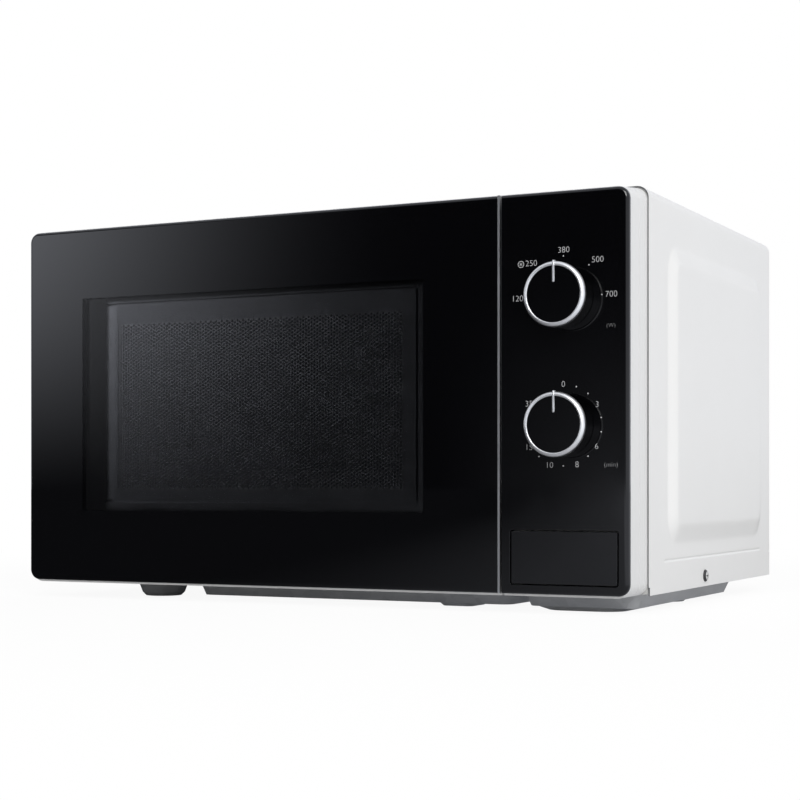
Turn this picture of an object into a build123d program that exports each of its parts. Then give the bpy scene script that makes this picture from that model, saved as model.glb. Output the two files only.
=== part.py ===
from build123d import *

import math
import os

os.makedirs("parts", exist_ok=True)

# A countertop microwave oven with a side-hinged glass door, two dials and a push-button door release.
# Sizes are in millimetres. The front looks along -Y and the feet stand on z = 0. Depth is counted
# backwards from the front plane of the door and the control panel.


def around(centre, width):
    """The span of a width set evenly about a centre."""
    return (centre - width / 2, centre + width / 2)


def grow(span, margin):
    """A span made longer by a margin at both ends."""
    return (span[0] - margin, span[1] + margin)


def mid(span):
    """The middle of a span."""
    return (span[0] + span[1]) / 2


def length(span):
    """The length of a span."""
    return span[1] - span[0]


# Overall sizes
FRONT_WIDTH = 440.0
FRONT_HEIGHT = 242.0
FRONT_CLEARANCE = 12.5  # from the table to the lower edge of the front
BODY_DEPTH = 319.0  # from the front plane to the rear edge of the outer case
KNOB_PROJECTION = 17.0
REAR_BULGE = 9.0
OVERALL_DEPTH = KNOB_PROJECTION + BODY_DEPTH + REAR_BULGE
FRONT_Y = KNOB_PROJECTION - OVERALL_DEPTH / 2
FRONT_X = around(0, FRONT_WIDTH)
FRONT_Z = (FRONT_CLEARANCE, FRONT_CLEARANCE + FRONT_HEIGHT)

# Fits
SEAT_GAP = 0.3  # between a piece and the recess it sits in
RUNNING_GAP = 0.05  # radial, between a turning or sliding rod and its bore
KEYED_GAP = 0.02  # radial, between a rod and the piece fixed on it
SCREW_GAP = 0.2  # radial, between a screw and its hole
CUT = 1.0  # how far a cutting shape runs past the face it cuts

# Outer case
CASE_SHEET = 0.8
CASE_PROUD = 0.6  # how far the case stands out beyond the front at each side
CASE_RISE = 5.3
CASE_SKIRT = 1.3
CASE_START = 35.6
CASE_BEND = 7.5
CASE_X = grow(FRONT_X, CASE_PROUD)
CASE_Z = (FRONT_Z[0] - CASE_SKIRT, FRONT_Z[1] + CASE_RISE)
CASE_DEPTH = (CASE_START, BODY_DEPTH)
INSIDE_X = grow(CASE_X, -CASE_SHEET)
INSIDE_TOP = CASE_Z[1] - CASE_SHEET
INSIDE_BEND = CASE_BEND - CASE_SHEET

# Raised panel, bead line and notch pressed into each side of the case
PANEL_RISE = 3.4
PANEL_SLOPE = 14.0
PANEL_CORNER = 20.0
PANEL_FRONT_MARGIN = 35.4
PANEL_REAR_MARGIN = 25.0
PANEL_LOWER_MARGIN = 28.0
PANEL_UPPER_MARGIN = 24.0
PANEL_DEPTH = (CASE_START + PANEL_FRONT_MARGIN, BODY_DEPTH - PANEL_REAR_MARGIN)
PANEL_Z = (FRONT_Z[0] + PANEL_LOWER_MARGIN, FRONT_Z[1] - PANEL_UPPER_MARGIN)
BEAD_WIDTH = 2.4
BEAD_CUT = 0.4
BEAD_RISE = 18.8  # of the bead line above the lower edge of the front
BEAD_FRONT_MARGIN = 29.4
BEAD_REAR_MARGIN = 27.0
BEAD_DEPTH = (CASE_START + BEAD_FRONT_MARGIN, BODY_DEPTH - BEAD_REAR_MARGIN)
NOTCH_DEPTH = 2.2
NOTCH_HEIGHT = 5.0

# Inner sheets that close the body at the front, below and behind
SHEET = 0.8
EDGE_GAP = 0.2  # between the inner sheets and the outer case
DOOR_GAP = 1.2  # between the closed door and the front plate
DOOR_DEPTH = 35.0
REAR_SETBACK = 0.8
FRONT_PLATE_DEPTH = (DOOR_DEPTH + DOOR_GAP, DOOR_DEPTH + DOOR_GAP + SHEET)
REAR_DEPTH = (BODY_DEPTH - REAR_SETBACK - SHEET, BODY_DEPTH - REAR_SETBACK)
BASE_Z = (CASE_Z[0] + SHEET, CASE_Z[0] + 2 * SHEET)
SHEETS_X = grow(INSIDE_X, -EDGE_GAP)
SHEETS_TOP = INSIDE_TOP - EDGE_GAP
SHEETS_CORNER = INSIDE_BEND - EDGE_GAP
BODY_INSIDE_DEPTH = (FRONT_PLATE_DEPTH[1], REAR_DEPTH[0])

# Base plate pressings and feet
PAN_Z = 2.5  # underside of the pressings
PAN_SLOPE = 5.0
PAN_CORNER = 14.0
PAN_DROP = BASE_Z[0] - PAN_Z
CAVITY_PAN_LEFT_INSET = 110.0
CAVITY_PAN_RIGHT_INSET = 89.0
CAVITY_PAN_FRONT = 2.0
CAVITY_PAN_REAR = 29.0
CAVITY_PAN_X = (FRONT_X[0] + CAVITY_PAN_LEFT_INSET, FRONT_X[1] - CAVITY_PAN_RIGHT_INSET)
CAVITY_PAN_DEPTH = (FRONT_PLATE_DEPTH[1] + CAVITY_PAN_FRONT, BODY_DEPTH - CAVITY_PAN_REAR)
MACHINE_PAN_WIDTH = 81.0
MACHINE_PAN_INSET = 5.0
MACHINE_PAN_FRONT = 0.5
MACHINE_PAN_LENGTH = 207.5
MACHINE_PAN_X = (FRONT_X[1] - MACHINE_PAN_INSET - MACHINE_PAN_WIDTH, FRONT_X[1] - MACHINE_PAN_INSET)
MACHINE_PAN_START = FRONT_PLATE_DEPTH[1] + MACHINE_PAN_FRONT
MACHINE_PAN_DEPTH = (MACHINE_PAN_START, MACHINE_PAN_START + MACHINE_PAN_LENGTH)
MACHINE_FLOOR = PAN_Z + SHEET
RIB_WIDTH = 27.0  # stiffening pad under the middle of the front
RIB_LENGTH = 30.0
RIB_DROP = 2.2
RIB_SLOPE = 3.0
RIB_CORNER = 8.0
RIB_INSET = 30.6
RIB_GAP = 1.0  # between the pad and the sloping front of its pan
RIB_RIGHT = CAVITY_PAN_X[1] - RIB_INSET
RIB_FRONT = CAVITY_PAN_DEPTH[0] + PAN_SLOPE + RIB_GAP
RIB_X = (RIB_RIGHT - RIB_WIDTH, RIB_RIGHT)
RIB_DEPTH = (RIB_FRONT, RIB_FRONT + RIB_LENGTH)
BASE_FLANGE = 14.0
FOOT_RADIUS = 12.5
FOOT_ROUND = 1.0
FOOT_SEAT_RADIUS = 15.0
FOOT_SEAT_SLOPE = 3.5
FOOT_LEFT_INSET = 70.6
FOOT_RIGHT_INSET = 52.0
FOOT_FRONT_INSET = 25.0
FOOT_REAR_INSET = 34.0
FOOT_LEFT_X = FRONT_X[0] + FOOT_LEFT_INSET
FOOT_RIGHT_X = FRONT_X[1] - FOOT_RIGHT_INSET
FOOT_DEPTHS = (FRONT_PLATE_DEPTH[1] + FOOT_FRONT_INSET, BODY_DEPTH - FOOT_REAR_INSET)
FOOT_SEAT_RIM = FOOT_SEAT_RADIUS + FOOT_SEAT_SLOPE
ROUND_FEET = [(FOOT_LEFT_X, FOOT_DEPTHS[0]), (FOOT_LEFT_X, FOOT_DEPTHS[1]), (FOOT_RIGHT_X, FOOT_DEPTHS[1])]
MIDDLE_FOOT_INSET = 30.0
MIDDLE_FOOT_SETBACK = 125.0
MIDDLE_FOOT = (FRONT_X[1] - MIDDLE_FOOT_INSET, FRONT_PLATE_DEPTH[1] + MIDDLE_FOOT_SETBACK)
LONG_FOOT_WIDTH = 60.5  # the foot under the heavy front corner
LONG_FOOT_LENGTH = 72.0
LONG_FOOT_INSET = 0.5
LONG_FOOT_CORNER = 14.0
LONG_FOOT_SLOPE = 1.0
LONG_FOOT_LEFT_SLOPE = 8.5
LONG_FOOT_LEFT = MACHINE_PAN_X[0] + PAN_SLOPE + LONG_FOOT_INSET
LONG_FOOT_FRONT = MACHINE_PAN_DEPTH[0] + PAN_SLOPE + LONG_FOOT_INSET
LONG_FOOT_X = (LONG_FOOT_LEFT, LONG_FOOT_LEFT + LONG_FOOT_WIDTH)
LONG_FOOT_DEPTH = (LONG_FOOT_FRONT, LONG_FOOT_FRONT + LONG_FOOT_LENGTH)
LONG_SOLE_X = (LONG_FOOT_X[0] + LONG_FOOT_LEFT_SLOPE, LONG_FOOT_X[1] - LONG_FOOT_SLOPE)
LONG_SOLE_DEPTH = grow(LONG_FOOT_DEPTH, -LONG_FOOT_SLOPE)

# Oven cavity
CAVITY_SHEET = 0.7
CAVITY_LEFT_MARGIN = 24.0
MACHINE_SPACE = 110.0  # from the right wall of the cavity to the right end of the front
CAVITY_LOWER_MARGIN = 19.5
CAVITY_UPPER_MARGIN = 16.5
CAVITY_REAR_REACH = 2.0  # how far the cavity reaches into the bulge of the rear panel
CAVITY_X = (FRONT_X[0] + CAVITY_LEFT_MARGIN, FRONT_X[1] - MACHINE_SPACE)
CAVITY_Z = (FRONT_Z[0] + CAVITY_LOWER_MARGIN, FRONT_Z[1] - CAVITY_UPPER_MARGIN)
CAVITY_DEPTH = (FRONT_PLATE_DEPTH[1], BODY_DEPTH + CAVITY_REAR_REACH)
CAVITY_OUT_X = grow(CAVITY_X, CAVITY_SHEET)
CAVITY_OUT_Z = grow(CAVITY_Z, CAVITY_SHEET)
CAVITY_OUT_DEPTH = (CAVITY_DEPTH[0], CAVITY_DEPTH[1] + CAVITY_SHEET)
BULGE_MARGIN = 9.0
BULGE_SLOPE = 8.0
BULGE_CORNER = 12.0
AIR_HOLE_RADIUS = 1.8
AIR_HOLE_PITCH = 6.0
AIR_ROWS = 5
AIR_COLUMNS = 8
OUTLET_FROM_REAR = 40.0
OUTLET_DROP = 30.0
INLET_FROM_FRONT = 45.0
INLET_DROP = 73.0

# Door
SEAM = 1.2  # between the door and the control panel
CONTROL_WIDTH = 81.0
FRONT_CORNER = 7.0
FRONT_ROUND = 2.5
FACE_THICKNESS = 4.0
CONTROL_X = (FRONT_X[1] - CONTROL_WIDTH, FRONT_X[1])
DOOR_X = (FRONT_X[0], CONTROL_X[0] - SEAM)
TRIM_WIDTH = 1.4
TRIM_SETBACK = 0.2
GLASS_X = (DOOR_X[0], DOOR_X[1] - TRIM_WIDTH)
BAND_INSET = 0.4  # how far the white mouldings stand back from the black front at the sides
BAND_DROP = 1.3
BAND_RISE = 0.5
BAND_CORNER = 8.0
BAND_DRAFT = 3.6  # how much higher they stand at their rear
BAND_Z = (FRONT_Z[0] - BAND_DROP, FRONT_Z[1] + BAND_RISE)
BAND_CUT_Z = (BAND_Z[0] - CUT, BAND_Z[1] + BAND_DRAFT + CUT)
FRAME_WALL = 2.4
FRAME_FLANGE = 2.2
FRAME_SETBACK = 0.4
FRAME_X = grow(DOOR_X, -BAND_INSET)
FRAME_DEPTH = (FACE_THICKNESS, DOOR_DEPTH - FRAME_SETBACK)
FRAME_BACK_OF_FLANGE = FACE_THICKNESS + FRAME_FLANGE
WINDOW_LEFT_MARGIN = 45.6
WINDOW_RIGHT_MARGIN = 51.8
WINDOW_LOWER_MARGIN = 48.4
WINDOW_UPPER_MARGIN = 48.0
WINDOW_LAP = 4.0  # how far the glass's black border covers the frame's opening
WINDOW_X = (DOOR_X[0] + WINDOW_LEFT_MARGIN, DOOR_X[1] - WINDOW_RIGHT_MARGIN)
WINDOW_Z = (FRONT_Z[0] + WINDOW_LOWER_MARGIN, FRONT_Z[1] - WINDOW_UPPER_MARGIN)

# Door hinge
HINGE_INSET = 6.0
HINGE_SETBACK = 7.0  # from the rear of the door to the hinge axis
HINGE_PIN_RADIUS = 2.5
HINGE_PIN_LENGTH = 10.0
HINGE_NOTCH = 8.0
HINGE_TONGUE_HALF = 4.5
HINGE_TONGUE_SHEET = 1.6
HINGE_TONGUE_GAP = 3.0  # between the tongue and the door below or above it
HINGE_LEAF = 1.0
HINGE_LEAF_WIDTH = 18.5
HINGE_LEAF_HEIGHT = 18.0
HINGE_SIDE_ROOM = 0.6
HINGE_SWING_ROOM = 1.6
HINGE_X = FRONT_X[0] + HINGE_INSET
HINGE_DEPTH = DOOR_DEPTH - HINGE_SETBACK
HINGE_ROUND = HINGE_X - FRAME_X[0]
HINGE_POST_X = (FRAME_X[0], HINGE_X + HINGE_ROUND)
HINGE_POST_DEPTH = (HINGE_DEPTH - HINGE_ROUND, HINGE_DEPTH + HINGE_ROUND)
HINGE_NOTCH_X = (FRAME_X[0] - CUT, HINGE_X + HINGE_TONGUE_HALF + HINGE_SIDE_ROOM)
HINGE_NOTCH_DEPTH = (HINGE_DEPTH - HINGE_TONGUE_HALF - HINGE_SWING_ROOM, DOOR_DEPTH + CUT)

# Door screen, choke and inner window
SCREEN_SHEET = 0.7
SCREEN_FRONT = 12.0
SCREEN_LEFT_MARGIN = 9.8
SCREEN_LAP = 14.0  # how far the dish reaches past the window on its other three sides
SCREEN_X = (WINDOW_X[0] + SCREEN_LEFT_MARGIN, WINDOW_X[1] + SCREEN_LAP)
SCREEN_Z = grow(WINDOW_Z, SCREEN_LAP)
CHOKE_SETBACK = 4.0
CHOKE_RIM = 9.0
CHOKE_X = (HINGE_POST_X[1] + SEAT_GAP, FRAME_X[1] - FRAME_WALL - SEAT_GAP)
CHOKE_Z = grow(BAND_Z, -FRAME_WALL - SEAT_GAP)
CHOKE_DEPTH = (DOOR_DEPTH - CHOKE_SETBACK, DOOR_DEPTH - CHOKE_SETBACK + SCREEN_SHEET)
INNER_WINDOW_THICKNESS = 1.2
INNER_WINDOW_LAP = 8.0
COVER_LIP = 6.0
INNER_WINDOW_X = grow(SCREEN_X, INNER_WINDOW_LAP)
INNER_WINDOW_Z = grow(SCREEN_Z, INNER_WINDOW_LAP)
INNER_WINDOW_DEPTH = (CHOKE_DEPTH[1], CHOKE_DEPTH[1] + INNER_WINDOW_THICKNESS)

# Latch hook in the door
HOOK_WIDTH = 8.0
HOOK_BAR_THICKNESS = 8.5
HOOK_BAR_BELOW = 6.0
HOOK_BAR_ABOVE = 17.0
HOOK_ARM_HEIGHT = 10.0
HOOK_BARB = 5.0
HOOK_BARB_LENGTH = 6.0
HOOK_ENGAGEMENT = 21.0  # how far the arms reach behind the front plate
HOOK_LOWER_RISE = 59.5
HOOK_UPPER_DROP = 54.5
HOOK_LIFT = 3.8
HOOK_GUIDE = 1.5
HOOK_GUIDE_MARGIN = 28.0
HOOK_SLOT_MARGIN = 1.0
HOOK_SWING_ROOM = 3.0  # the arms move a little to the right as the door swings
HOOK_X = around(mid((CAVITY_X[1], DOOR_X[1])), HOOK_WIDTH)
HOOK_BAR_FRONT = FRAME_BACK_OF_FLANGE + SEAT_GAP
HOOK_BAR_DEPTH = (HOOK_BAR_FRONT, HOOK_BAR_FRONT + HOOK_BAR_THICKNESS)
HOOK_REACH = FRONT_PLATE_DEPTH[1] + HOOK_ENGAGEMENT
HOOK_ARMS_Z = (FRONT_Z[0] + HOOK_LOWER_RISE, FRONT_Z[1] - HOOK_UPPER_DROP)  # lower edge of each arm
HOOK_BAR_Z = (HOOK_ARMS_Z[0] - HOOK_BAR_BELOW, HOOK_ARMS_Z[1] + HOOK_BAR_ABOVE)
HOOK_GUIDE_Z = (HOOK_ARMS_Z[0] + HOOK_GUIDE_MARGIN, HOOK_ARMS_Z[1] - HOOK_GUIDE_MARGIN)
LATCH_SPRING_LENGTH = 15.0
LATCH_SPRING_RADIUS = 3.0
LATCH_SPRING_WIRE = 0.45
LATCH_SPRING_TURNS = 6
LATCH_STOP = 2.5

# Control panel and dials
HOUSING_WALL = 2.2
HOUSING_X = grow(CONTROL_X, -BAND_INSET)
HOUSING_DEPTH = (FACE_THICKNESS, FRONT_PLATE_DEPTH[0])
HOUSING_BACK_OF_FLANGE = FACE_THICKNESS + HOUSING_WALL
HOUSING_LINE_DEPTHS = (21.0, 32.0)
HOUSING_LINE_WIDTH = 0.8
HOUSING_LINE_CUT = 0.4
DIAL_INSET = 40.8
POWER_RISE = 178.4
TIMER_RISE = 101.6
DIAL_X = FRONT_X[1] - DIAL_INSET
POWER_Z = FRONT_Z[0] + POWER_RISE
TIMER_Z = FRONT_Z[0] + TIMER_RISE
KNOB_RADIUS = 19.4
KNOB_GAP = 0.6
KNOB_SIDE_STEP = 0.4
KNOB_FACE_SETBACK = 0.6
RING_WIDTH = 2.6
RING_DEPTH = 3.6
RING_BEVEL = 1.4
POINTER_WIDTH = 2.1
POINTER_LENGTH = 12.4
POINTER_RISE = 0.5
SHAFT_RADIUS = 3.0
SHAFT_HOLE_RADIUS = 5.0
SHAFT_IN_KNOB = 10.0
SHAFT_END = 24.0
KNOB_BACK = -KNOB_GAP
KNOB_FACE = -KNOB_PROJECTION + KNOB_FACE_SETBACK
RING_SPAN = (-KNOB_PROJECTION, -KNOB_PROJECTION + RING_DEPTH)
RING_INNER = KNOB_RADIUS - RING_WIDTH
SHAFT_SPAN = (KNOB_BACK - SHAFT_IN_KNOB, SHAFT_END)
SELECTOR_SIZE = (38.0, 34.0, 36.0)
TIMER_SIZE = (48.0, 48.0, 60.0)
CONTROL_OPENING_LEFT = 4.0
CONTROL_OPENING_RIGHT = 8.0
CONTROL_OPENING_BOTTOM = 11.5
CONTROL_OPENING_TOP = 29.5
CONTROL_OPENING_X = (CONTROL_X[0] + CONTROL_OPENING_LEFT, CONTROL_X[1] - CONTROL_OPENING_RIGHT)
CONTROL_OPENING_Z = (FRONT_Z[0] + CONTROL_OPENING_BOTTOM, FRONT_Z[1] - CONTROL_OPENING_TOP)

# Release button
BUTTON_WIDTH = 67.4
BUTTON_HEIGHT = 31.5
BUTTON_INSET = 7.0
BUTTON_RISE = 6.4
BUTTON_CORNER = 0.8
BUTTON_THICKNESS = 3.0
BUTTON_GROOVE = 1.0
BUTTON_X = (FRONT_X[1] - BUTTON_INSET - BUTTON_WIDTH, FRONT_X[1] - BUTTON_INSET)
BUTTON_Z = (FRONT_Z[0] + BUTTON_RISE, FRONT_Z[0] + BUTTON_RISE + BUTTON_HEIGHT)
BUTTON_OPENING_X = grow(BUTTON_X, BUTTON_GROOVE)
BUTTON_OPENING_Z = grow(BUTTON_Z, BUTTON_GROOVE)
STEM_RADIUS = 4.0
STEM_INSET = 6.4
STEM_DROP = 5.9
STEM_X = BUTTON_X[0] + STEM_INSET
STEM_Z = BUTTON_Z[1] - STEM_DROP
GUIDE_RADIUS = 3.0
GUIDE_INSET = 12.6
GUIDE_END = 26.0
GUIDE_X = BUTTON_X[1] - GUIDE_INSET
SHELF_START = 20.0
SHELF_SHEET = 2.2
SHELF_RISE = 6.0
SHELF_DEPTH = (SHELF_START, SHELF_START + SHELF_SHEET)
SHELF_TOP = BUTTON_Z[1] + SHELF_RISE
BUTTON_SPRING_RADIUS = 5.2
BUTTON_SPRING_WIRE = 0.5
BUTTON_SPRING_TURNS = 5

# Release lever
LEVER_ROD_RADIUS = 2.0
LEVER_HUB_RADIUS = 3.2
LEVER_SETBACK = 6.0
LEVER_DROP = 12.0
LEVER_FINGER_WIDTH = 4.0
LEVER_FINGER_SHIFT = 0.4
LEVER_FINGER_GAP = 0.6
LEVER_TIP_LENGTH = 4.5
LEVER_TIP_SETBACK = 0.5
LEVER_TIP_HEIGHT = 5.0
LEVER_PADDLE_WIDTH = 10.0
LEVER_PADDLE_THICKNESS = 2.4
LEVER_PADDLE_LEAD = 1.4
LEVER_NOSE_GAP = 0.4
LEVER_DEPTH = FRONT_PLATE_DEPTH[1] + LEVER_SETBACK
LEVER_Z = HOOK_ARMS_Z[0] - LEVER_DROP
LEVER_FINGER_RIGHT = HOOK_X[1] + LEVER_FINGER_SHIFT
LEVER_FINGER_X = (LEVER_FINGER_RIGHT - LEVER_FINGER_WIDTH, LEVER_FINGER_RIGHT)
LEVER_TIP_END = HOOK_REACH - LEVER_TIP_SETBACK
LEVER_PADDLE_X = around(STEM_X, LEVER_PADDLE_WIDTH)
LEVER_PADDLE_FRONT = LEVER_DEPTH - LEVER_PADDLE_LEAD
STEM_END = LEVER_PADDLE_FRONT - LEVER_NOSE_GAP

# Latch board and interlock switches
BOARD_SHEET = 2.5
BOARD_SIDE = 2.0
BOARD_WALL_GAP = 1.3
BOARD_BELOW = 10.0
BOARD_ABOVE = 22.0
BOARD_X = (CAVITY_OUT_X[1] + BOARD_WALL_GAP, CONTROL_X[0])
BOARD_Z = (LEVER_Z - BOARD_BELOW, HOOK_ARMS_Z[1] + BOARD_ABOVE)
BOARD_DEPTH = (FRONT_PLATE_DEPTH[1], FRONT_PLATE_DEPTH[1] + BOARD_SHEET)
BOARD_SIDE_X = (BOARD_X[0], BOARD_X[0] + BOARD_SIDE)
CATCH_GAP = 0.5
CATCH_HEIGHT = 12.5
CATCH_SETBACK = 2.0
CATCH_SIDE_GAP = 1.0
CATCH_X = (BOARD_SIDE_X[1], LEVER_FINGER_X[0] - CATCH_SIDE_GAP)
CATCH_DEPTH = (BOARD_DEPTH[1], HOOK_REACH - HOOK_BARB_LENGTH - CATCH_SETBACK)
BEARING_WIDTH = 4.0
BEARING_HALF = 5.0
BEARING_OFFSET = 5.0
BEARING_X = (HOOK_X[1] + BEARING_OFFSET, HOOK_X[1] + BEARING_OFFSET + BEARING_WIDTH)
SWITCH_WIDTH = 10.0
SWITCH_LENGTH = 16.0
SWITCH_HEIGHT = 28.0
SWITCH_GAP = 2.0
PLUNGER_RADIUS = 1.2
PLUNGER_GAP = 0.5
SWITCH_DEPTH = (HOOK_REACH + SWITCH_GAP, HOOK_REACH + SWITCH_GAP + SWITCH_LENGTH)
BOARD_SIDE_DEPTH = (BOARD_DEPTH[0], SWITCH_DEPTH[1])

# Turntable
TURN_X = mid(CAVITY_X)
TURN_DEPTH = mid(CAVITY_DEPTH)
TRAY_RADIUS = 127.5
TRAY_RIM_WIDTH = 23.5
TRAY_THICKNESS = 4.0
TRAY_RIM_RISE = 10.0
TRAY_FLAT_RADIUS = TRAY_RADIUS - TRAY_RIM_WIDTH
WHEEL_INSET = 7.5  # from the edge of the tray's flat to the middle of a wheel
WHEEL_TRACK_RADIUS = TRAY_FLAT_RADIUS - WHEEL_INSET
WHEEL_RADIUS = 6.7
WHEEL_WIDTH = 6.0
WHEEL_GAP = 0.3
WHEEL_ANGLES = (90.0, 210.0, 330.0)
WHEEL_RADII = around(WHEEL_TRACK_RADIUS, WHEEL_WIDTH)
LUG_TURN = 180 / len(WHEEL_ANGLES)  # from an arm of the coupler to a lug of the tray
AXLE_RADIUS = 1.9
AXLE_CAP = 3.0
AXLE_Z = CAVITY_Z[0] + WHEEL_GAP + WHEEL_RADIUS
TRAY_Z = AXLE_Z + WHEEL_RADIUS + WHEEL_GAP
ROLLER_RING_WIDTH = 6.0
ROLLER_RING_HEIGHT = 5.0
ROLLER_RING_GAP = 3.5  # between the ring and its wheels
ROLLER_RING_OUTER = WHEEL_RADII[0] - ROLLER_RING_GAP
ROLLER_RING_INNER = ROLLER_RING_OUTER - ROLLER_RING_WIDTH
COUPLER_RADIUS = 9.0
COUPLER_HOLE_RADIUS = 11.0
COUPLER_ARM_LENGTH = 18.0
COUPLER_ARM_WIDTH = 6.0
COUPLER_ARM_HEIGHT = 4.7
COUPLER_TOP = TRAY_Z - WHEEL_GAP
DRIVE_SHAFT_RADIUS = 3.5
DRIVE_SHAFT_RISE = 5.0
MOTOR_RADIUS = 24.5
MOTOR_HEIGHT = 17.0
MOTOR_EAR_REACH = 32.0
MOTOR_EAR_WIDTH = 10.0
MOTOR_EAR_HEIGHT = 1.5
MOTOR_Z = (CAVITY_OUT_Z[0] - MOTOR_HEIGHT, CAVITY_OUT_Z[0])
DRIVE_SHAFT_Z = (MOTOR_Z[0] + DRIVE_SHAFT_RISE, COUPLER_TOP - COUPLER_ARM_HEIGHT)

# Waveguide and magnetron
GUIDE_WALL = 0.8
WAVEGUIDE_THICKNESS = 19.3
WAVEGUIDE_LENGTH = 90.0
WAVEGUIDE_HEIGHT = 80.0
WAVEGUIDE_SETBACK = 16.0  # behind the turntable's axis
WAVEGUIDE_DROP = 63.0
WAVEGUIDE_X = (CAVITY_OUT_X[1], CAVITY_OUT_X[1] + WAVEGUIDE_THICKNESS)
WAVEGUIDE_DEPTH = around(TURN_DEPTH + WAVEGUIDE_SETBACK, WAVEGUIDE_LENGTH)
WAVEGUIDE_Z = around(CAVITY_Z[1] - WAVEGUIDE_DROP, WAVEGUIDE_HEIGHT)
APERTURE_LENGTH = 50.0
APERTURE_HEIGHT = 44.0
APERTURE_DEPTH = around(mid(WAVEGUIDE_DEPTH), APERTURE_LENGTH)
APERTURE_Z = around(mid(WAVEGUIDE_Z), APERTURE_HEIGHT)
MICA_THICKNESS = 0.8
MICA_LAP = 8.0
ANTENNA_RADIUS = 8.0
ANTENNA_HOLE_RADIUS = 10.0
ANTENNA_LENGTH = 16.0
YOKE_WALL = 2.0
YOKE_WIDTH = 56.0
YOKE_INSET = 5.0
YOKE_X = (WAVEGUIDE_X[1], WAVEGUIDE_X[1] + YOKE_WIDTH)
YOKE_DEPTH = grow(WAVEGUIDE_DEPTH, -YOKE_INSET)
YOKE_Z = grow(WAVEGUIDE_Z, -YOKE_INSET)
FILTER_BOX_HEIGHT = 24.0
FILTER_BOX_INSET = 10.0
ANODE_RADIUS = 20.0
FIN_COUNT = 6
FIN_THICKNESS = 0.8
FIN_MARGIN = 6.0

# Transformer, capacitor and diode
MACHINE_X = mid(MACHINE_PAN_X)
CORE_WIDTH = 64.0
CORE_STACK = 50.0
CORE_HEIGHT = 60.0
CORE_YOKE = 11.0
CORE_WINDOW = 10.5
CORE_SETBACK = 125.0
CORE_X = around(MACHINE_X, CORE_WIDTH)
CORE_DEPTH = around(MACHINE_PAN_DEPTH[0] + CORE_SETBACK, CORE_STACK)
CORE_Z = (MACHINE_FLOOR, MACHINE_FLOOR + CORE_HEIGHT)
CORE_WINDOW_Z = grow(CORE_Z, -CORE_YOKE)
CORE_WINDOWS_X = (
    (CORE_X[0] + CORE_YOKE, CORE_X[0] + CORE_YOKE + CORE_WINDOW),
    (CORE_X[1] - CORE_YOKE - CORE_WINDOW, CORE_X[1] - CORE_YOKE),
)
WINDING_OVERHANG = 12.0
WINDING_ROUND = 6.0
WINDING_SPLIT = 2.0
CAN_WIDTH = 52.0
CAN_THICKNESS = 34.0
CAN_HEIGHT = 75.0
CAN_SETBACK = 57.0
CAN_DEPTH = around(MACHINE_PAN_DEPTH[0] + CAN_SETBACK, CAN_THICKNESS)
CAN_Z = (MACHINE_FLOOR, MACHINE_FLOOR + CAN_HEIGHT)
TERMINAL_RADIUS = 3.0
TERMINAL_HEIGHT = 8.0
TERMINAL_SPACING = 24.0
TERMINAL_TOP = CAN_Z[1] + TERMINAL_HEIGHT
DIODE_RADIUS = 3.5
DIODE_LENGTH = 30.0

# Fan at the rear
FAN_DROP = 66.0
FAN_X = mid((CAVITY_OUT_X[1], INSIDE_X[1]))
FAN_Z = CAVITY_Z[1] - FAN_DROP
SHROUD_SIZE = 92.0
SHROUD_THICKNESS = 20.0
SHROUD_BORE_RADIUS = 44.0
SHROUD_DEPTH = (REAR_DEPTH[0] - SHROUD_THICKNESS, REAR_DEPTH[0])
BLADE_COUNT = 5
BLADE_RADIUS = 42.0
BLADE_CHORD = 18.0
BLADE_SHEET = 1.6
BLADE_PITCH = 35.0
BLADE_ROOT = 2.0  # how far a blade runs into the hub
FAN_HUB_RADIUS = 10.0
FAN_HUB_FRONT = 2.0
FAN_HUB_REAR = 4.0
FAN_HUB_DEPTH = (SHROUD_DEPTH[0] + FAN_HUB_FRONT, SHROUD_DEPTH[1] - FAN_HUB_REAR)
FAN_SHAFT_RADIUS = 2.0
FAN_SHAFT_SETBACK = 4.0
FAN_MOTOR_WIDTH = 40.0
FAN_MOTOR_LENGTH = 18.0
FAN_MOTOR_HEIGHT = 44.0
FAN_MOTOR_GAP = 18.0  # between the motor and the shroud
FAN_MOTOR_END = SHROUD_DEPTH[0] - FAN_MOTOR_GAP
FAN_MOTOR_DEPTH = (FAN_MOTOR_END - FAN_MOTOR_LENGTH, FAN_MOTOR_END)
FAN_SHAFT_SPAN = (FAN_MOTOR_DEPTH[0] + FAN_SHAFT_SETBACK, FAN_HUB_DEPTH[1])
FAN_STRAP_WIDTH = 8.0
FAN_STRAP_SHEET = 2.0
FAN_STRAP_REACH = SHROUD_SIZE / 2

# Lamp, noise filter, cut-outs and cord gland
LAMP_WIDTH = 39.0
LAMP_SIZE = 24.0
LAMP_SETBACK = 63.0
LAMP_DROP = 23.0
LAMP_BORE_RADIUS = 10.0
LAMP_X = (CAVITY_OUT_X[1], CAVITY_OUT_X[1] + LAMP_WIDTH)
LAMP_DEPTH = around(CAVITY_DEPTH[0] + LAMP_SETBACK, LAMP_SIZE)
LAMP_Z = around(CAVITY_Z[1] - LAMP_DROP, LAMP_SIZE)
BULB_RADIUS = 8.0
BULB_LENGTH = 28.0
BULB_END = LAMP_X[0] + BULB_LENGTH + SEAT_GAP
FILTER_WIDTH = 78.0
FILTER_HEIGHT = 66.0
FILTER_RISE = 18.0
FILTER_SHEET = 1.6
FILTER_STAND_OFF = 4.0
FILTER_POST_RADIUS = 3.0
FILTER_POST_INSET = 6.0
FILTER_COIL_RADIUS = 13.0
FILTER_COIL_LENGTH = 16.0
FILTER_X = around(FAN_X, FILTER_WIDTH)
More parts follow.
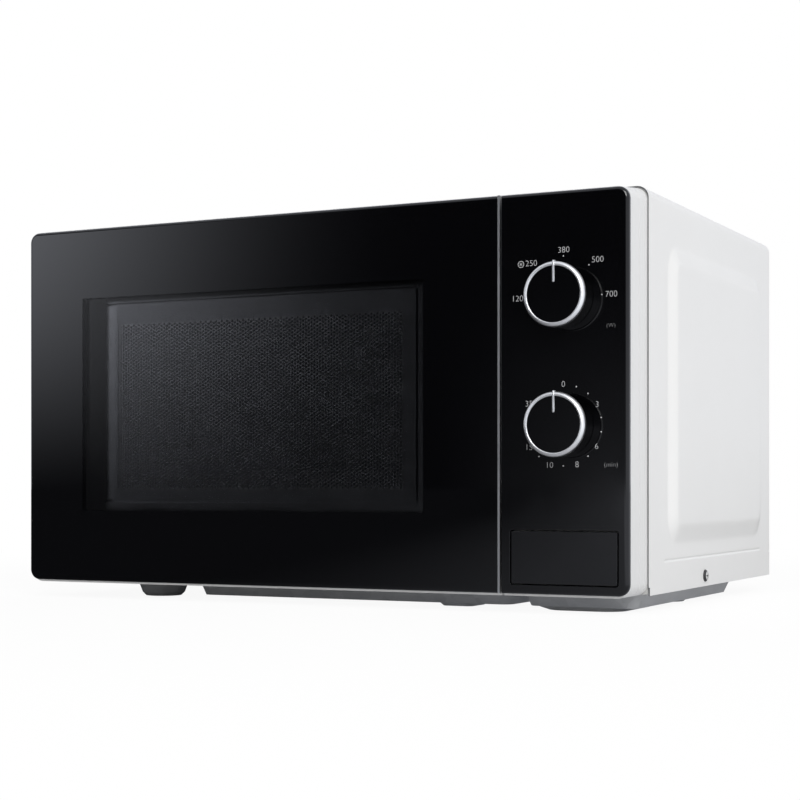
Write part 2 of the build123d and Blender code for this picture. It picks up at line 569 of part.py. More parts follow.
FILTER_Z = (BASE_Z[1] + FILTER_RISE, BASE_Z[1] + FILTER_RISE + FILTER_HEIGHT)
FILTER_DEPTH = (REAR_DEPTH[0] - FILTER_STAND_OFF - FILTER_SHEET, REAR_DEPTH[0] - FILTER_STAND_OFF)
FUSE_RADIUS = 3.0
FUSE_LENGTH = 30.0
CUTOUT_RADIUS = 8.0
CUTOUT_LENGTH = 9.0
CUTOUT_FRONT_SETBACK = 93.0
CUTOUT_SPACING = 142.0
CUTOUT_DROP = 130.0
CUTOUT_Z = CAVITY_Z[1] - CUTOUT_DROP
CUTOUT_FRONT = CAVITY_DEPTH[0] + CUTOUT_FRONT_SETBACK
CUTOUT_DEPTHS = (CUTOUT_FRONT, CUTOUT_FRONT + CUTOUT_SPACING)
GLAND_INSET = 24.0
GLAND_RISE = 16.0  # above the noise filter
GLAND_RADIUS = 7.0
GLAND_FLANGE_RADIUS = 10.0
GLAND_FLANGE = 3.0
GLAND_BORE_RADIUS = 3.6
GLAND_BARREL = 14.0
GLAND_X = INSIDE_X[1] - GLAND_INSET
GLAND_Z = FILTER_Z[1] + GLAND_RISE

# Rear and base vents, and case screws
VENT_WIDTH = 34.0
VENT_HEIGHT = 3.0
VENT_PITCH = 7.0
VENT_BAR = 6.0  # between the two columns of slots
FAN_VENT_ROWS = 11
LOWER_VENT_ROWS = 6
LOWER_VENT_RISE = 24.0
LOWER_VENT_Z = FILTER_Z[0] + LOWER_VENT_RISE
BASE_VENT_COUNT = 2
BASE_VENT_WIDTH = 40.0
BASE_VENT_HEIGHT = 4.0
BASE_VENT_PITCH = 8.0
BASE_VENT_DEPTH = mid((MACHINE_PAN_DEPTH[1], FOOT_DEPTHS[1] - FOOT_SEAT_RIM))
SCREW_RADIUS = 2.0
SCREW_HEAD_RADIUS = 4.0
SCREW_HEAD = 2.2
SCREW_LENGTH = 8.0
SIDE_SCREW_SETBACK = 116.8
SIDE_SCREW_RISE = 5.7
SIDE_SCREW_DEPTH = CASE_START + SIDE_SCREW_SETBACK
SIDE_SCREW_Z = FRONT_Z[0] + SIDE_SCREW_RISE
REAR_SCREW_INSET = 8.0
SIDE_SCREWS = [(CASE_X[0], -1), (CASE_X[1], 1)]
REAR_SCREWS = [
    (x, z)
    for x in grow(SHEETS_X, -REAR_SCREW_INSET)
    for z in grow((BASE_Z[1], SHEETS_TOP), -REAR_SCREW_INSET)
]


def block(x, depth, z):
    """A box filling spans of x, depth and z."""
    return Pos(mid(x), FRONT_Y + mid(depth), mid(z)) * Box(length(x), length(depth), length(z))


def rod_along_x(radius, x, depth, z):
    """A cylinder lying along a span of x."""
    return Pos(mid(x), FRONT_Y + depth, z) * Rot(0, 90, 0) * Cylinder(radius, length(x))


def rod_along_depth(radius, x, depth, z):
    """A cylinder lying along a span of depth."""
    return Pos(x, FRONT_Y + mid(depth), z) * Rot(90, 0, 0) * Cylinder(radius, length(depth))


def rod_upright(radius, x, depth, z):
    """A cylinder standing over a span of z."""
    return Pos(x, FRONT_Y + depth, mid(z)) * Cylinder(radius, length(z))


def outline(x, z, bottom_left=0.0, bottom_right=0.0, top_right=0.0, top_left=0.0):
    """A flat rectangle in x and z whose four corners have their own radii."""
    shape = Pos(mid(x), mid(z)) * Rectangle(length(x), length(z))
    corners = (
        ((x[0], z[0], 0), bottom_left),
        ((x[1], z[0], 0), bottom_right),
        ((x[1], z[1], 0), top_right),
        ((x[0], z[1], 0), top_left),
    )
    for corner, radius in corners:
        if radius > 0:
            shape = fillet(shape.vertices().sort_by_distance(corner)[0], radius)
    return shape


def upright_plate(shape, depth):
    """A flat outline in x and z, made solid over a span of depth."""
    plane = Plane(origin=(0, FRONT_Y + depth[0], 0), x_dir=(1, 0, 0), z_dir=(0, -1, 0))
    return extrude(plane * shape, -length(depth))


def band_z(depth):
    """The lower and upper side of the white mouldings at a depth."""
    share = (depth - FACE_THICKNESS) / (DOOR_DEPTH - FACE_THICKNESS)
    return BAND_Z[0], BAND_Z[1] + BAND_DRAFT * share


def band_plate(x, depth, **corners):
    """A white moulding before it is hollowed: its outline grows from the front depth to the rear one."""
    faces = []
    for end in depth:
        plane = Plane(origin=(0, FRONT_Y + end, 0), x_dir=(1, 0, 0), z_dir=(0, -1, 0))
        faces.append(plane * outline(x, band_z(end), **corners))
    return loft(faces, ruled=True)


def side_profile(points, x):
    """A closed outline of (depth, z) points, made solid over a span of x."""
    plane = Plane(origin=(x[0], 0, 0), x_dir=(0, 1, 0), z_dir=(1, 0, 0))
    face = Polygon(*[(FRONT_Y + depth, z) for depth, z in points], align=None)
    return extrude(plane * face, length(x))


def press(sheet, plane, width, height, rise, slope, corner, thickness):
    """Press a panel with sloping sides out of a sheet, in the direction the plane looks."""
    foot = plane * RectangleRounded(width, height, corner)
    crest = plane.offset(rise) * RectangleRounded(width - 2 * slope, height - 2 * slope, corner / 2)
    raised = loft([foot, crest], ruled=True)
    return sheet + raised - Pos(*(plane.z_dir * -thickness)) * raised


def press_down(sheet, x, depth, z, drop, slope, corner):
    """Press a pan down from the base plate."""
    plane = Plane(origin=(mid(x), FRONT_Y + mid(depth), z), x_dir=(1, 0, 0), z_dir=(0, 0, -1))
    return press(sheet, plane, length(x), length(depth), drop, slope, corner, SHEET)


def coil(name, radius, wire, turns, height):
    """A coil spring standing on the origin; its gap to itself is printed."""
    pitch = (height - 2 * wire) / turns
    path = Pos(0, 0, wire) * Helix(pitch=pitch, height=height - 2 * wire, radius=radius)
    section = Plane(origin=path @ 0, z_dir=path % 0) * Circle(wire)
    print(f"{name}: gap between turns {pitch - 2 * wire:.2f} mm")
    return sweep(section, path=path, is_frenet=True)


def save(name, shape):
    """Write one node of the oven."""
    export_step(shape, f"parts/{name}.step")


def side_screw_rod(radius, face, side, outward, inward):
    """A rod at a side screw, reaching outward and inward from the case's face."""
    ends = sorted((face + side * outward, face - side * inward))
    return rod_along_x(radius, ends, SIDE_SCREW_DEPTH, SIDE_SCREW_Z)


def make_outer_case():
    """The wrapped sheet over the left side, the top and the right side."""
    outside = outline(CASE_X, CASE_Z, top_left=CASE_BEND, top_right=CASE_BEND)
    inner_z = (CASE_Z[0] - CUT, INSIDE_TOP)
    inside = outline(INSIDE_X, inner_z, top_left=INSIDE_BEND, top_right=INSIDE_BEND)
    case = upright_plate(outside - inside, CASE_DEPTH)
    for face, side in SIDE_SCREWS:
        plane = Plane(
            origin=(face, FRONT_Y + mid(PANEL_DEPTH), mid(PANEL_Z)), x_dir=(0, 1, 0), z_dir=(side, 0, 0)
        )
        panel_size = (length(PANEL_DEPTH), length(PANEL_Z))
        case = press(case, plane, *panel_size, PANEL_RISE, PANEL_SLOPE, PANEL_CORNER, CASE_SHEET)
        case -= block(around(face, 2 * BEAD_CUT), BEAD_DEPTH, around(FRONT_Z[0] + BEAD_RISE, BEAD_WIDTH))
        case -= block(
            around(face, 4 * CASE_SHEET),
            (CASE_START - CUT, CASE_START + NOTCH_DEPTH),
            (CASE_Z[0] - CUT, CASE_Z[0] + NOTCH_HEIGHT),
        )
        case -= side_screw_rod(SCREW_RADIUS + SCREW_GAP, face, side, CUT, 2 * CASE_SHEET)
    return case


def make_base_plate():
    """The pressed sheet under the oven, turned up along both sides."""
    plate = block(SHEETS_X, BODY_INSIDE_DEPTH, BASE_Z)
    flange_z = (BASE_Z[0], BASE_Z[0] + BASE_FLANGE)
    plate += block((SHEETS_X[0], SHEETS_X[0] + SHEET), BODY_INSIDE_DEPTH, flange_z)
    plate += block((SHEETS_X[1] - SHEET, SHEETS_X[1]), BODY_INSIDE_DEPTH, flange_z)
    plate = press_down(plate, CAVITY_PAN_X, CAVITY_PAN_DEPTH, BASE_Z[0], PAN_DROP, PAN_SLOPE, PAN_CORNER)
    plate = press_down(plate, MACHINE_PAN_X, MACHINE_PAN_DEPTH, BASE_Z[0], PAN_DROP, PAN_SLOPE, PAN_CORNER)
    plate = press_down(plate, RIB_X, RIB_DEPTH, PAN_Z, RIB_DROP, RIB_SLOPE, RIB_CORNER)
    for x, depth in ROUND_FEET:
        dish = Pos(x, FRONT_Y + depth, PAN_Z + PAN_DROP / 2) * Cone(FOOT_SEAT_RADIUS, FOOT_SEAT_RIM, PAN_DROP)
        plate = plate + dish - Pos(0, 0, SHEET) * dish
    for index in range(BASE_VENT_COUNT):
        depth = BASE_VENT_DEPTH + (index - (BASE_VENT_COUNT - 1) / 2) * BASE_VENT_PITCH
        slot = (around(MACHINE_X, BASE_VENT_WIDTH), around(depth, BASE_VENT_HEIGHT))
        plate -= block(*slot, grow(BASE_Z, CUT))
    for face, side in SIDE_SCREWS:
        plate -= side_screw_rod(SCREW_RADIUS + SCREW_GAP, face, side, CUT, SCREW_LENGTH)
    return plate


def make_feet():
    """Four round feet and a long one under the base plate, all narrower at the table."""
    feet = Part()
    for x, depth in [*ROUND_FEET, MIDDLE_FOOT]:
        foot = Pos(x, FRONT_Y + depth, PAN_Z / 2) * Cone(FOOT_RADIUS, FOOT_SEAT_RADIUS, PAN_Z)
        feet += fillet(foot.edges().group_by(Axis.Z)[0], FOOT_ROUND)
    faces = []
    for x, depth, z in ((LONG_FOOT_X, LONG_FOOT_DEPTH, PAN_Z), (LONG_SOLE_X, LONG_SOLE_DEPTH, 0.0)):
        plane = Plane(origin=(mid(x), FRONT_Y + mid(depth), z))
        faces.append(plane * RectangleRounded(length(x), length(depth), LONG_FOOT_CORNER))
    return feet + loft(faces, ruled=True)


def closing_sheet(depth):
    """A plain sheet that closes the outer case at its front or its rear."""
    shape = outline(SHEETS_X, (BASE_Z[0], SHEETS_TOP), top_left=SHEETS_CORNER, top_right=SHEETS_CORNER)
    return upright_plate(shape, depth)


def make_rear_panel():
    """The rear sheet, pressed out round the back of the cavity and slotted for air."""
    panel = closing_sheet(REAR_DEPTH)
    plane = Plane(
        origin=(mid(CAVITY_X), FRONT_Y + REAR_DEPTH[1], mid(CAVITY_Z)), x_dir=(1, 0, 0), z_dir=(0, 1, 0)
    )
    rise = BODY_DEPTH + REAR_BULGE - REAR_DEPTH[1]
    panel = press(
        panel,
        plane,
        length(CAVITY_OUT_X) + 2 * BULGE_MARGIN,
        length(CAVITY_OUT_Z) + 2 * BULGE_MARGIN,
        rise,
        BULGE_SLOPE,
        BULGE_CORNER,
        SHEET,
    )
    through = grow(REAR_DEPTH, CUT)
    for rows, centre_z in ((FAN_VENT_ROWS, FAN_Z), (LOWER_VENT_ROWS, LOWER_VENT_Z)):
        for row in range(rows):
            z = centre_z + (row - (rows - 1) / 2) * VENT_PITCH
            for side in (-1, 1):
                x = FAN_X + side * (VENT_WIDTH + VENT_BAR) / 2
                panel -= block(around(x, VENT_WIDTH), through, around(z, VENT_HEIGHT))
    panel -= rod_along_depth(GLAND_RADIUS + SCREW_GAP, GLAND_X, through, GLAND_Z)
    for x, z in REAR_SCREWS:
        panel -= rod_along_depth(SCREW_RADIUS + SCREW_GAP, x, through, z)
    return panel


def make_case_screws():
    """The screws at both sides of the case and at the corners of the rear panel."""
    screws = Part()
    for face, side in SIDE_SCREWS:
        screws += side_screw_rod(SCREW_HEAD_RADIUS, face, side, SCREW_HEAD, 0.0) + side_screw_rod(
            SCREW_RADIUS, face, side, 0.0, SCREW_LENGTH
        )
    for x, z in REAR_SCREWS:
        head = rod_along_depth(SCREW_HEAD_RADIUS, x, (REAR_DEPTH[1], REAR_DEPTH[1] + SCREW_HEAD), z)
        screws += head + rod_along_depth(SCREW_RADIUS, x, (REAR_DEPTH[1] - SCREW_LENGTH, REAR_DEPTH[1]), z)
    return screws


def make_cord_gland():
    """The ring in the rear panel that the power cord goes through."""
    flange = (REAR_DEPTH[1], REAR_DEPTH[1] + GLAND_FLANGE)
    barrel = (REAR_DEPTH[1] - GLAND_BARREL, flange[1])
    gland = rod_along_depth(GLAND_FLANGE_RADIUS, GLAND_X, flange, GLAND_Z)
    gland += rod_along_depth(GLAND_RADIUS, GLAND_X, barrel, GLAND_Z)
    return gland - rod_along_depth(GLAND_BORE_RADIUS, GLAND_X, grow(barrel, CUT), GLAND_Z)


def arm_window(arm_z, left, right):
    """The spans of x and z that one hook arm needs, lifted or not, with room at the sides."""
    x = (HOOK_X[0] - left, HOOK_X[1] + right)
    z = (arm_z - HOOK_BARB - HOOK_SLOT_MARGIN, arm_z + HOOK_ARM_HEIGHT + HOOK_LIFT + HOOK_SLOT_MARGIN)
    return x, z


def make_front_plate():
    """The sheet behind the door, open for the cavity, the hook arms and the controls."""
    through = grow(FRONT_PLATE_DEPTH, CUT)
    plate = closing_sheet(FRONT_PLATE_DEPTH)
    plate -= block(CAVITY_X, through, CAVITY_Z)
    plate -= block(CONTROL_OPENING_X, through, CONTROL_OPENING_Z)
    for arm_z in HOOK_ARMS_Z:
        x, z = arm_window(arm_z, HOOK_SLOT_MARGIN, HOOK_SWING_ROOM)
        plate -= block(x, through, z)
    return plate


def air_holes(x, depth, z):
    """A field of round air holes through a side wall of the cavity."""
    holes = Part()
    for row in range(AIR_ROWS):
        for column in range(AIR_COLUMNS):
            hole_depth = depth + (column - (AIR_COLUMNS - 1) / 2) * AIR_HOLE_PITCH
            hole_z = z + (row - (AIR_ROWS - 1) / 2) * AIR_HOLE_PITCH
            holes += rod_along_x(AIR_HOLE_RADIUS, x, hole_depth, hole_z)
    return holes


def make_cavity_walls():
    """The five sheets of the oven cavity."""
    left_x = (CAVITY_OUT_X[0], CAVITY_X[0])
    right_x = (CAVITY_X[1], CAVITY_OUT_X[1])
    rear_depth = (CAVITY_DEPTH[1], CAVITY_OUT_DEPTH[1])
    left = block(left_x, CAVITY_OUT_DEPTH, CAVITY_OUT_Z)
    left -= air_holes(grow(left_x, CUT), CAVITY_DEPTH[1] - OUTLET_FROM_REAR, CAVITY_Z[1] - OUTLET_DROP)
    right = block(right_x, CAVITY_OUT_DEPTH, CAVITY_OUT_Z)
    right -= air_holes(grow(right_x, CUT), CAVITY_DEPTH[0] + INLET_FROM_FRONT, CAVITY_Z[1] - INLET_DROP)
    right -= rod_along_x(BULB_RADIUS, grow(right_x, CUT), mid(LAMP_DEPTH), mid(LAMP_Z))
    right -= block(grow(right_x, CUT), APERTURE_DEPTH, APERTURE_Z)
    ceiling = block(CAVITY_X, CAVITY_OUT_DEPTH, (CAVITY_Z[1], CAVITY_OUT_Z[1]))
    floor_z = (CAVITY_OUT_Z[0], CAVITY_Z[0])
    floor = block(CAVITY_X, CAVITY_OUT_DEPTH, floor_z)
    floor -= rod_upright(COUPLER_HOLE_RADIUS, TURN_X, TURN_DEPTH, grow(floor_z, CUT))
    rear = block(CAVITY_X, rear_depth, CAVITY_Z)
    return left, right, ceiling, floor, rear


def make_hinge(upper):
    """A hinge leaf on the front plate, with a tongue and a pin reaching into the door."""
    inward = -1 if upper else 1
    door_end = BAND_Z[1] - HINGE_NOTCH if upper else BAND_Z[0] + HINGE_NOTCH
    near = door_end - inward * HINGE_TONGUE_GAP
    far = near - inward * HINGE_TONGUE_SHEET
    tongue_z = sorted((near, far))
    leaf_z = sorted((far, far + inward * HINGE_LEAF_HEIGHT))
    pin_z = sorted((far, door_end + inward * HINGE_PIN_LENGTH))
    leaf_depth = (FRONT_PLATE_DEPTH[0] - HINGE_LEAF, FRONT_PLATE_DEPTH[0])
    leaf_left = HINGE_X - HINGE_TONGUE_HALF
    hinge = block((leaf_left, leaf_left + HINGE_LEAF_WIDTH), leaf_depth, leaf_z)
    hinge += block(around(HINGE_X, 2 * HINGE_TONGUE_HALF), (HINGE_DEPTH, leaf_depth[1]), tongue_z)
    hinge += rod_upright(HINGE_TONGUE_HALF, HINGE_X, HINGE_DEPTH, tongue_z)
    return hinge + rod_upright(HINGE_PIN_RADIUS, HINGE_X, HINGE_DEPTH, pin_z)


def round_front(plate, seam_x):
    """Round the front edges of a black front piece, except along the seam at seam_x."""
    edges = plate.edges().group_by(Axis.Y)[0]
    return fillet([edge for edge in edges if abs(edge.center().X - seam_x) > FRONT_ROUND], FRONT_ROUND)


def make_door_frame():
    """The white moulding behind the door glass, with the hinge post and the latch guides."""
    inner_corner = BAND_CORNER - FRAME_WALL
    inside = outline(
        grow(FRAME_X, -FRAME_WALL), grow(BAND_Z, -FRAME_WALL), bottom_left=inner_corner, top_left=inner_corner
    )
    frame = band_plate(FRAME_X, FRAME_DEPTH, bottom_left=BAND_CORNER, top_left=BAND_CORNER)
    frame -= upright_plate(inside, (FRAME_BACK_OF_FLANGE, DOOR_DEPTH))
    opening = (grow(WINDOW_X, WINDOW_LAP), grow(WINDOW_Z, WINDOW_LAP))
    frame -= block(opening[0], (0.0, DOOR_DEPTH), opening[1])

    # The rear left edge is round about the hinge axis, so that it clears the front plate
    wall_z = grow(BAND_Z, -BAND_CORNER)
    frame -= block((FRAME_X[0] - CUT, HINGE_POST_X[1]), (HINGE_DEPTH, DOOR_DEPTH), BAND_CUT_Z)
    post = block(HINGE_POST_X, (HINGE_POST_DEPTH[0], HINGE_DEPTH), wall_z)
    post += block((HINGE_X, HINGE_POST_X[1]), HINGE_POST_DEPTH, wall_z)
    frame += post + rod_upright(HINGE_ROUND, HINGE_X, HINGE_DEPTH, wall_z)

    frame -= block(HINGE_NOTCH_X, HINGE_NOTCH_DEPTH, (BAND_CUT_Z[0], BAND_Z[0] + HINGE_NOTCH))
    frame -= block(HINGE_NOTCH_X, HINGE_NOTCH_DEPTH, (BAND_Z[1] - HINGE_NOTCH, BAND_CUT_Z[1]))
    bore = HINGE_PIN_LENGTH + SEAT_GAP
    for end, inward in ((BAND_Z[0] + HINGE_NOTCH, 1), (BAND_Z[1] - HINGE_NOTCH, -1)):
        bore_z = sorted((end - inward * CUT, end + inward * bore))
        frame -= rod_upright(HINGE_PIN_RADIUS + RUNNING_GAP, HINGE_X, HINGE_DEPTH, bore_z)

    guide_depth = (FRAME_BACK_OF_FLANGE, HOOK_BAR_DEPTH[1])
    left_guide = (HOOK_X[0] - SEAT_GAP - HOOK_GUIDE, HOOK_X[0] - SEAT_GAP)
    right_guide = (HOOK_X[1] + SEAT_GAP, HOOK_X[1] + SEAT_GAP + HOOK_GUIDE)
    frame += block(left_guide, guide_depth, HOOK_GUIDE_Z)
    frame += block(right_guide, guide_depth, HOOK_GUIDE_Z)
    stop = HOOK_BAR_Z[1] + LATCH_SPRING_LENGTH
    return frame + block((left_guide[0], right_guide[1]), guide_depth, (stop, stop + LATCH_STOP))


def make_door_screen():
    """The steel sheet behind the glass: a forward dish with the screen, and a flange round it."""
    screen = block(CHOKE_X, CHOKE_DEPTH, CHOKE_Z)
    rim = block(CHOKE_X, (CHOKE_DEPTH[0] - CHOKE_RIM, CHOKE_DEPTH[0]), CHOKE_Z)
    rim -= block(grow(CHOKE_X, -SCREEN_SHEET), (0.0, DOOR_DEPTH), grow(CHOKE_Z, -SCREEN_SHEET))
    dish = block(SCREEN_X, (SCREEN_FRONT, CHOKE_DEPTH[1]), SCREEN_Z)
    hollow_depth = (SCREEN_FRONT + SCREEN_SHEET, DOOR_DEPTH)
    hollow = block(grow(SCREEN_X, -SCREEN_SHEET), hollow_depth, grow(SCREEN_Z, -SCREEN_SHEET))
    screen = screen + rim + dish - hollow
    for arm_z in HOOK_ARMS_Z:
        x, z = arm_window(arm_z, HOOK_SLOT_MARGIN, HOOK_SLOT_MARGIN)
        screen -= block(x, grow(CHOKE_DEPTH, CUT), z)
    return screen


def make_door_choke_cover():
    """The plastic ring on the oven side of the door, holding the inner window."""
    depth = (CHOKE_DEPTH[1], DOOR_DEPTH)
    cover = block(CHOKE_X, depth, CHOKE_Z)
    rebate = (depth[0] - CUT, depth[0] + INNER_WINDOW_THICKNESS + SEAT_GAP)
    cover -= block(grow(INNER_WINDOW_X, SEAT_GAP), rebate, grow(INNER_WINDOW_Z, SEAT_GAP))
    cover -= block(grow(INNER_WINDOW_X, -COVER_LIP), grow(depth, CUT), grow(INNER_WINDOW_Z, -COVER_LIP))
    for arm_z in HOOK_ARMS_Z:
        x, z = arm_window(arm_z, HOOK_SLOT_MARGIN, HOOK_SLOT_MARGIN)
        cover -= block(x, grow(depth, CUT), z)
    return cover


def make_latch_hook():
    """The sliding bar in the door with its two hooked arms."""
    hook = block(HOOK_X, HOOK_BAR_DEPTH, HOOK_BAR_Z)
    for arm_z in HOOK_ARMS_Z:
        barb_start = HOOK_REACH - HOOK_BARB_LENGTH
        points = [
            (HOOK_BAR_DEPTH[1], arm_z),
            (barb_start, arm_z),
            (barb_start, arm_z - HOOK_BARB),
            (HOOK_REACH, arm_z),
            (HOOK_REACH, arm_z + HOOK_ARM_HEIGHT),
            (HOOK_BAR_DEPTH[1], arm_z + HOOK_ARM_HEIGHT),
        ]
        hook += side_profile(points, HOOK_X)
    return hook


def make_latch_spring():
    """The spring that pushes the latch hook down."""
    spring = coil(
        "latch_spring",
        LATCH_SPRING_RADIUS,
        LATCH_SPRING_WIRE,
        LATCH_SPRING_TURNS,
        LATCH_SPRING_LENGTH - 2 * SEAT_GAP,
    )
    return Pos(mid(HOOK_X), FRONT_Y + mid(HOOK_BAR_DEPTH), HOOK_BAR_Z[1] + SEAT_GAP) * spring


def make_control_fascia():
    """The black front of the control panel."""
    shape = outline(CONTROL_X, FRONT_Z, bottom_right=FRONT_CORNER, top_right=FRONT_CORNER)
    fascia = round_front(upright_plate(shape, (0.0, FACE_THICKNESS)), CONTROL_X[0])
    through = (-CUT, FACE_THICKNESS + CUT)
    corners = 4 * [BUTTON_CORNER + BUTTON_GROOVE]
    fascia -= upright_plate(outline(BUTTON_OPENING_X, BUTTON_OPENING_Z, *corners), through)
    for z in (POWER_Z, TIMER_Z):
        fascia -= rod_along_depth(SHAFT_HOLE_RADIUS, DIAL_X, through, z)
    return fascia


def make_control_housing():
    """The white moulding behind the control fascia, with a shelf that guides the button."""
    inner_corner = BAND_CORNER - HOUSING_WALL
    inside_x = grow(HOUSING_X, -HOUSING_WALL)
    inside_z = grow(BAND_Z, -HOUSING_WALL)
    inside = outline(inside_x, inside_z, bottom_right=inner_corner, top_right=inner_corner)
    housing = band_plate(HOUSING_X, HOUSING_DEPTH, bottom_right=BAND_CORNER, top_right=BAND_CORNER)
    housing -= upright_plate(inside, (HOUSING_BACK_OF_FLANGE, HOUSING_DEPTH[1] + CUT))
    for depth in HOUSING_LINE_DEPTHS:
        line_corner = BAND_CORNER - HOUSING_LINE_CUT
        inner = outline(
            grow(HOUSING_X, -HOUSING_LINE_CUT),
            grow(band_z(depth), -HOUSING_LINE_CUT),
            bottom_right=line_corner,
            top_right=line_corner,
        )
        ring = outline(grow(HOUSING_X, CUT), BAND_CUT_Z) - inner
        housing -= upright_plate(ring, around(depth, HOUSING_LINE_WIDTH))
    flange = (0.0, HOUSING_BACK_OF_FLANGE + CUT)
    housing -= block(BUTTON_OPENING_X, flange, BUTTON_OPENING_Z)
    for z in (POWER_Z, TIMER_Z):
        housing -= rod_along_depth(SHAFT_HOLE_RADIUS, DIAL_X, flange, z)
    shelf = block(inside_x, SHELF_DEPTH, (inside_z[0] + inner_corner, SHELF_TOP))
    shelf -= rod_along_depth(STEM_RADIUS + RUNNING_GAP, STEM_X, grow(SHELF_DEPTH, CUT), STEM_Z)
    shelf -= rod_along_depth(GUIDE_RADIUS + RUNNING_GAP, GUIDE_X, grow(SHELF_DEPTH, CUT), mid(BUTTON_Z))
    return housing + shelf


def make_knob(z):
    """The black body of a dial."""
    knob = rod_along_depth(KNOB_RADIUS - KNOB_SIDE_STEP, DIAL_X, (RING_SPAN[1], KNOB_BACK), z)
    knob += rod_along_depth(RING_INNER - KEYED_GAP, DIAL_X, (KNOB_FACE, RING_SPAN[1]), z)
    bore = (SHAFT_SPAN[0], KNOB_BACK + CUT)
    return knob - rod_along_depth(SHAFT_RADIUS + KEYED_GAP, DIAL_X, bore, z)


def make_knob_trim(z):
    """The silver ring round the front of a dial, with the pointer that runs in from it."""
    ring = rod_along_depth(KNOB_RADIUS, DIAL_X, RING_SPAN, z)
    ring = chamfer(ring.edges().group_by(Axis.Y)[0], RING_BEVEL)
    ring -= rod_along_depth(RING_INNER, DIAL_X, grow(RING_SPAN, CUT), z)
    pointer_z = (z + KNOB_RADIUS - POINTER_LENGTH, z + RING_INNER + RING_WIDTH / 2)
    pointer = block(around(DIAL_X, POINTER_WIDTH), (KNOB_FACE - POINTER_RISE, KNOB_FACE), pointer_z)
    rim_z = (z + KNOB_RADIUS - RING_WIDTH / 2, z + KNOB_RADIUS + POINTER_RISE)
    rim = block(around(DIAL_X, POINTER_WIDTH), (RING_SPAN[0] + RING_BEVEL / 2, RING_SPAN[1]), rim_z)
    return ring + pointer + rim


def make_shaft(z):
    """The steel shaft that carries a dial."""
    return rod_along_depth(SHAFT_RADIUS, DIAL_X, SHAFT_SPAN, z)


def make_control_unit(size, z):
    """A control behind the panel: a moulded box with a bore for its shaft."""
    depth = (HOUSING_BACK_OF_FLANGE, HOUSING_BACK_OF_FLANGE + size[1])
    unit = block(around(DIAL_X, size[0]), depth, around(z, size[2]))
    bore = (depth[0] - CUT, SHAFT_END + SEAT_GAP)
    return unit - rod_along_depth(SHAFT_RADIUS + RUNNING_GAP, DIAL_X, bore, z)


def make_release_button():
    """The door release button with its push rod and guide pin."""
    shape = outline(BUTTON_X, BUTTON_Z, *(4 * [BUTTON_CORNER]))
    button = upright_plate(shape, (0.0, BUTTON_THICKNESS))
    straight_end = STEM_END - STEM_RADIUS
    button += rod_along_depth(STEM_RADIUS, STEM_X, (BUTTON_THICKNESS, straight_end), STEM_Z)
    button += Pos(STEM_X, FRONT_Y + straight_end, STEM_Z) * Sphere(STEM_RADIUS)
    return button + rod_along_depth(GUIDE_RADIUS, GUIDE_X, (BUTTON_THICKNESS, GUIDE_END), mid(BUTTON_Z))


def make_button_spring():
    """The spring round the push rod that returns the button."""
    span = (BUTTON_THICKNESS + SEAT_GAP, SHELF_DEPTH[0] - SEAT_GAP)
    spring = coil(
        "button_spring", BUTTON_SPRING_RADIUS, BUTTON_SPRING_WIRE, BUTTON_SPRING_TURNS, length(span)
    )
    return Pos(STEM_X, FRONT_Y + span[0], STEM_Z) * Rot(-90, 0, 0) * spring


def make_release_lever():
    """The cranked lever that the button's rod pushes and that lifts the lower hook arm."""
    rod_x = (CATCH_X[0] + SEAT_GAP, LEVER_PADDLE_X[1])
    lever = rod_along_x(LEVER_ROD_RADIUS, rod_x, LEVER_DEPTH, LEVER_Z)
    lever += rod_along_x(LEVER_HUB_RADIUS, LEVER_FINGER_X, LEVER_DEPTH, LEVER_Z)
    tip_top = HOOK_ARMS_Z[0] - HOOK_BARB - LEVER_FINGER_GAP
    finger = [
        (LEVER_DEPTH, LEVER_Z - LEVER_HUB_RADIUS),
        (LEVER_TIP_END, tip_top - LEVER_TIP_HEIGHT),
        (LEVER_TIP_END, tip_top),
        (LEVER_TIP_END - LEVER_TIP_LENGTH, tip_top),
        (LEVER_DEPTH, LEVER_Z + LEVER_HUB_RADIUS),
    ]
    lever += side_profile(finger, LEVER_FINGER_X)
    lever += rod_along_x(LEVER_HUB_RADIUS, LEVER_PADDLE_X, LEVER_DEPTH, LEVER_Z)
    paddle_depth = (LEVER_PADDLE_FRONT, LEVER_PADDLE_FRONT + LEVER_PADDLE_THICKNESS)
    return lever + block(LEVER_PADDLE_X, paddle_depth, (STEM_Z - STEM_RADIUS, LEVER_Z))


def make_latch_board():
    """The moulded board behind the front plate with the two catches and the lever's bearings."""
    board = block(BOARD_X, BOARD_DEPTH, BOARD_Z) + block(BOARD_SIDE_X, BOARD_SIDE_DEPTH, BOARD_Z)
    for arm_z in HOOK_ARMS_Z:
        x, z = arm_window(arm_z, HOOK_SLOT_MARGIN, HOOK_SWING_ROOM + HOOK_SLOT_MARGIN)
        board -= block(x, grow(BOARD_DEPTH, CUT), z)
        catch_top = arm_z - HOOK_BARB - CATCH_GAP
        board += block(CATCH_X, CATCH_DEPTH, (catch_top - CATCH_HEIGHT, catch_top))
    bearing_depth = (BOARD_DEPTH[1], LEVER_DEPTH + BEARING_HALF)
    board += block(BEARING_X, bearing_depth, around(LEVER_Z, 2 * BEARING_HALF))
    bore_x = (CATCH_X[0], BEARING_X[1] + CUT)
    return board - rod_along_x(LEVER_ROD_RADIUS + RUNNING_GAP, bore_x, LEVER_DEPTH, LEVER_Z)


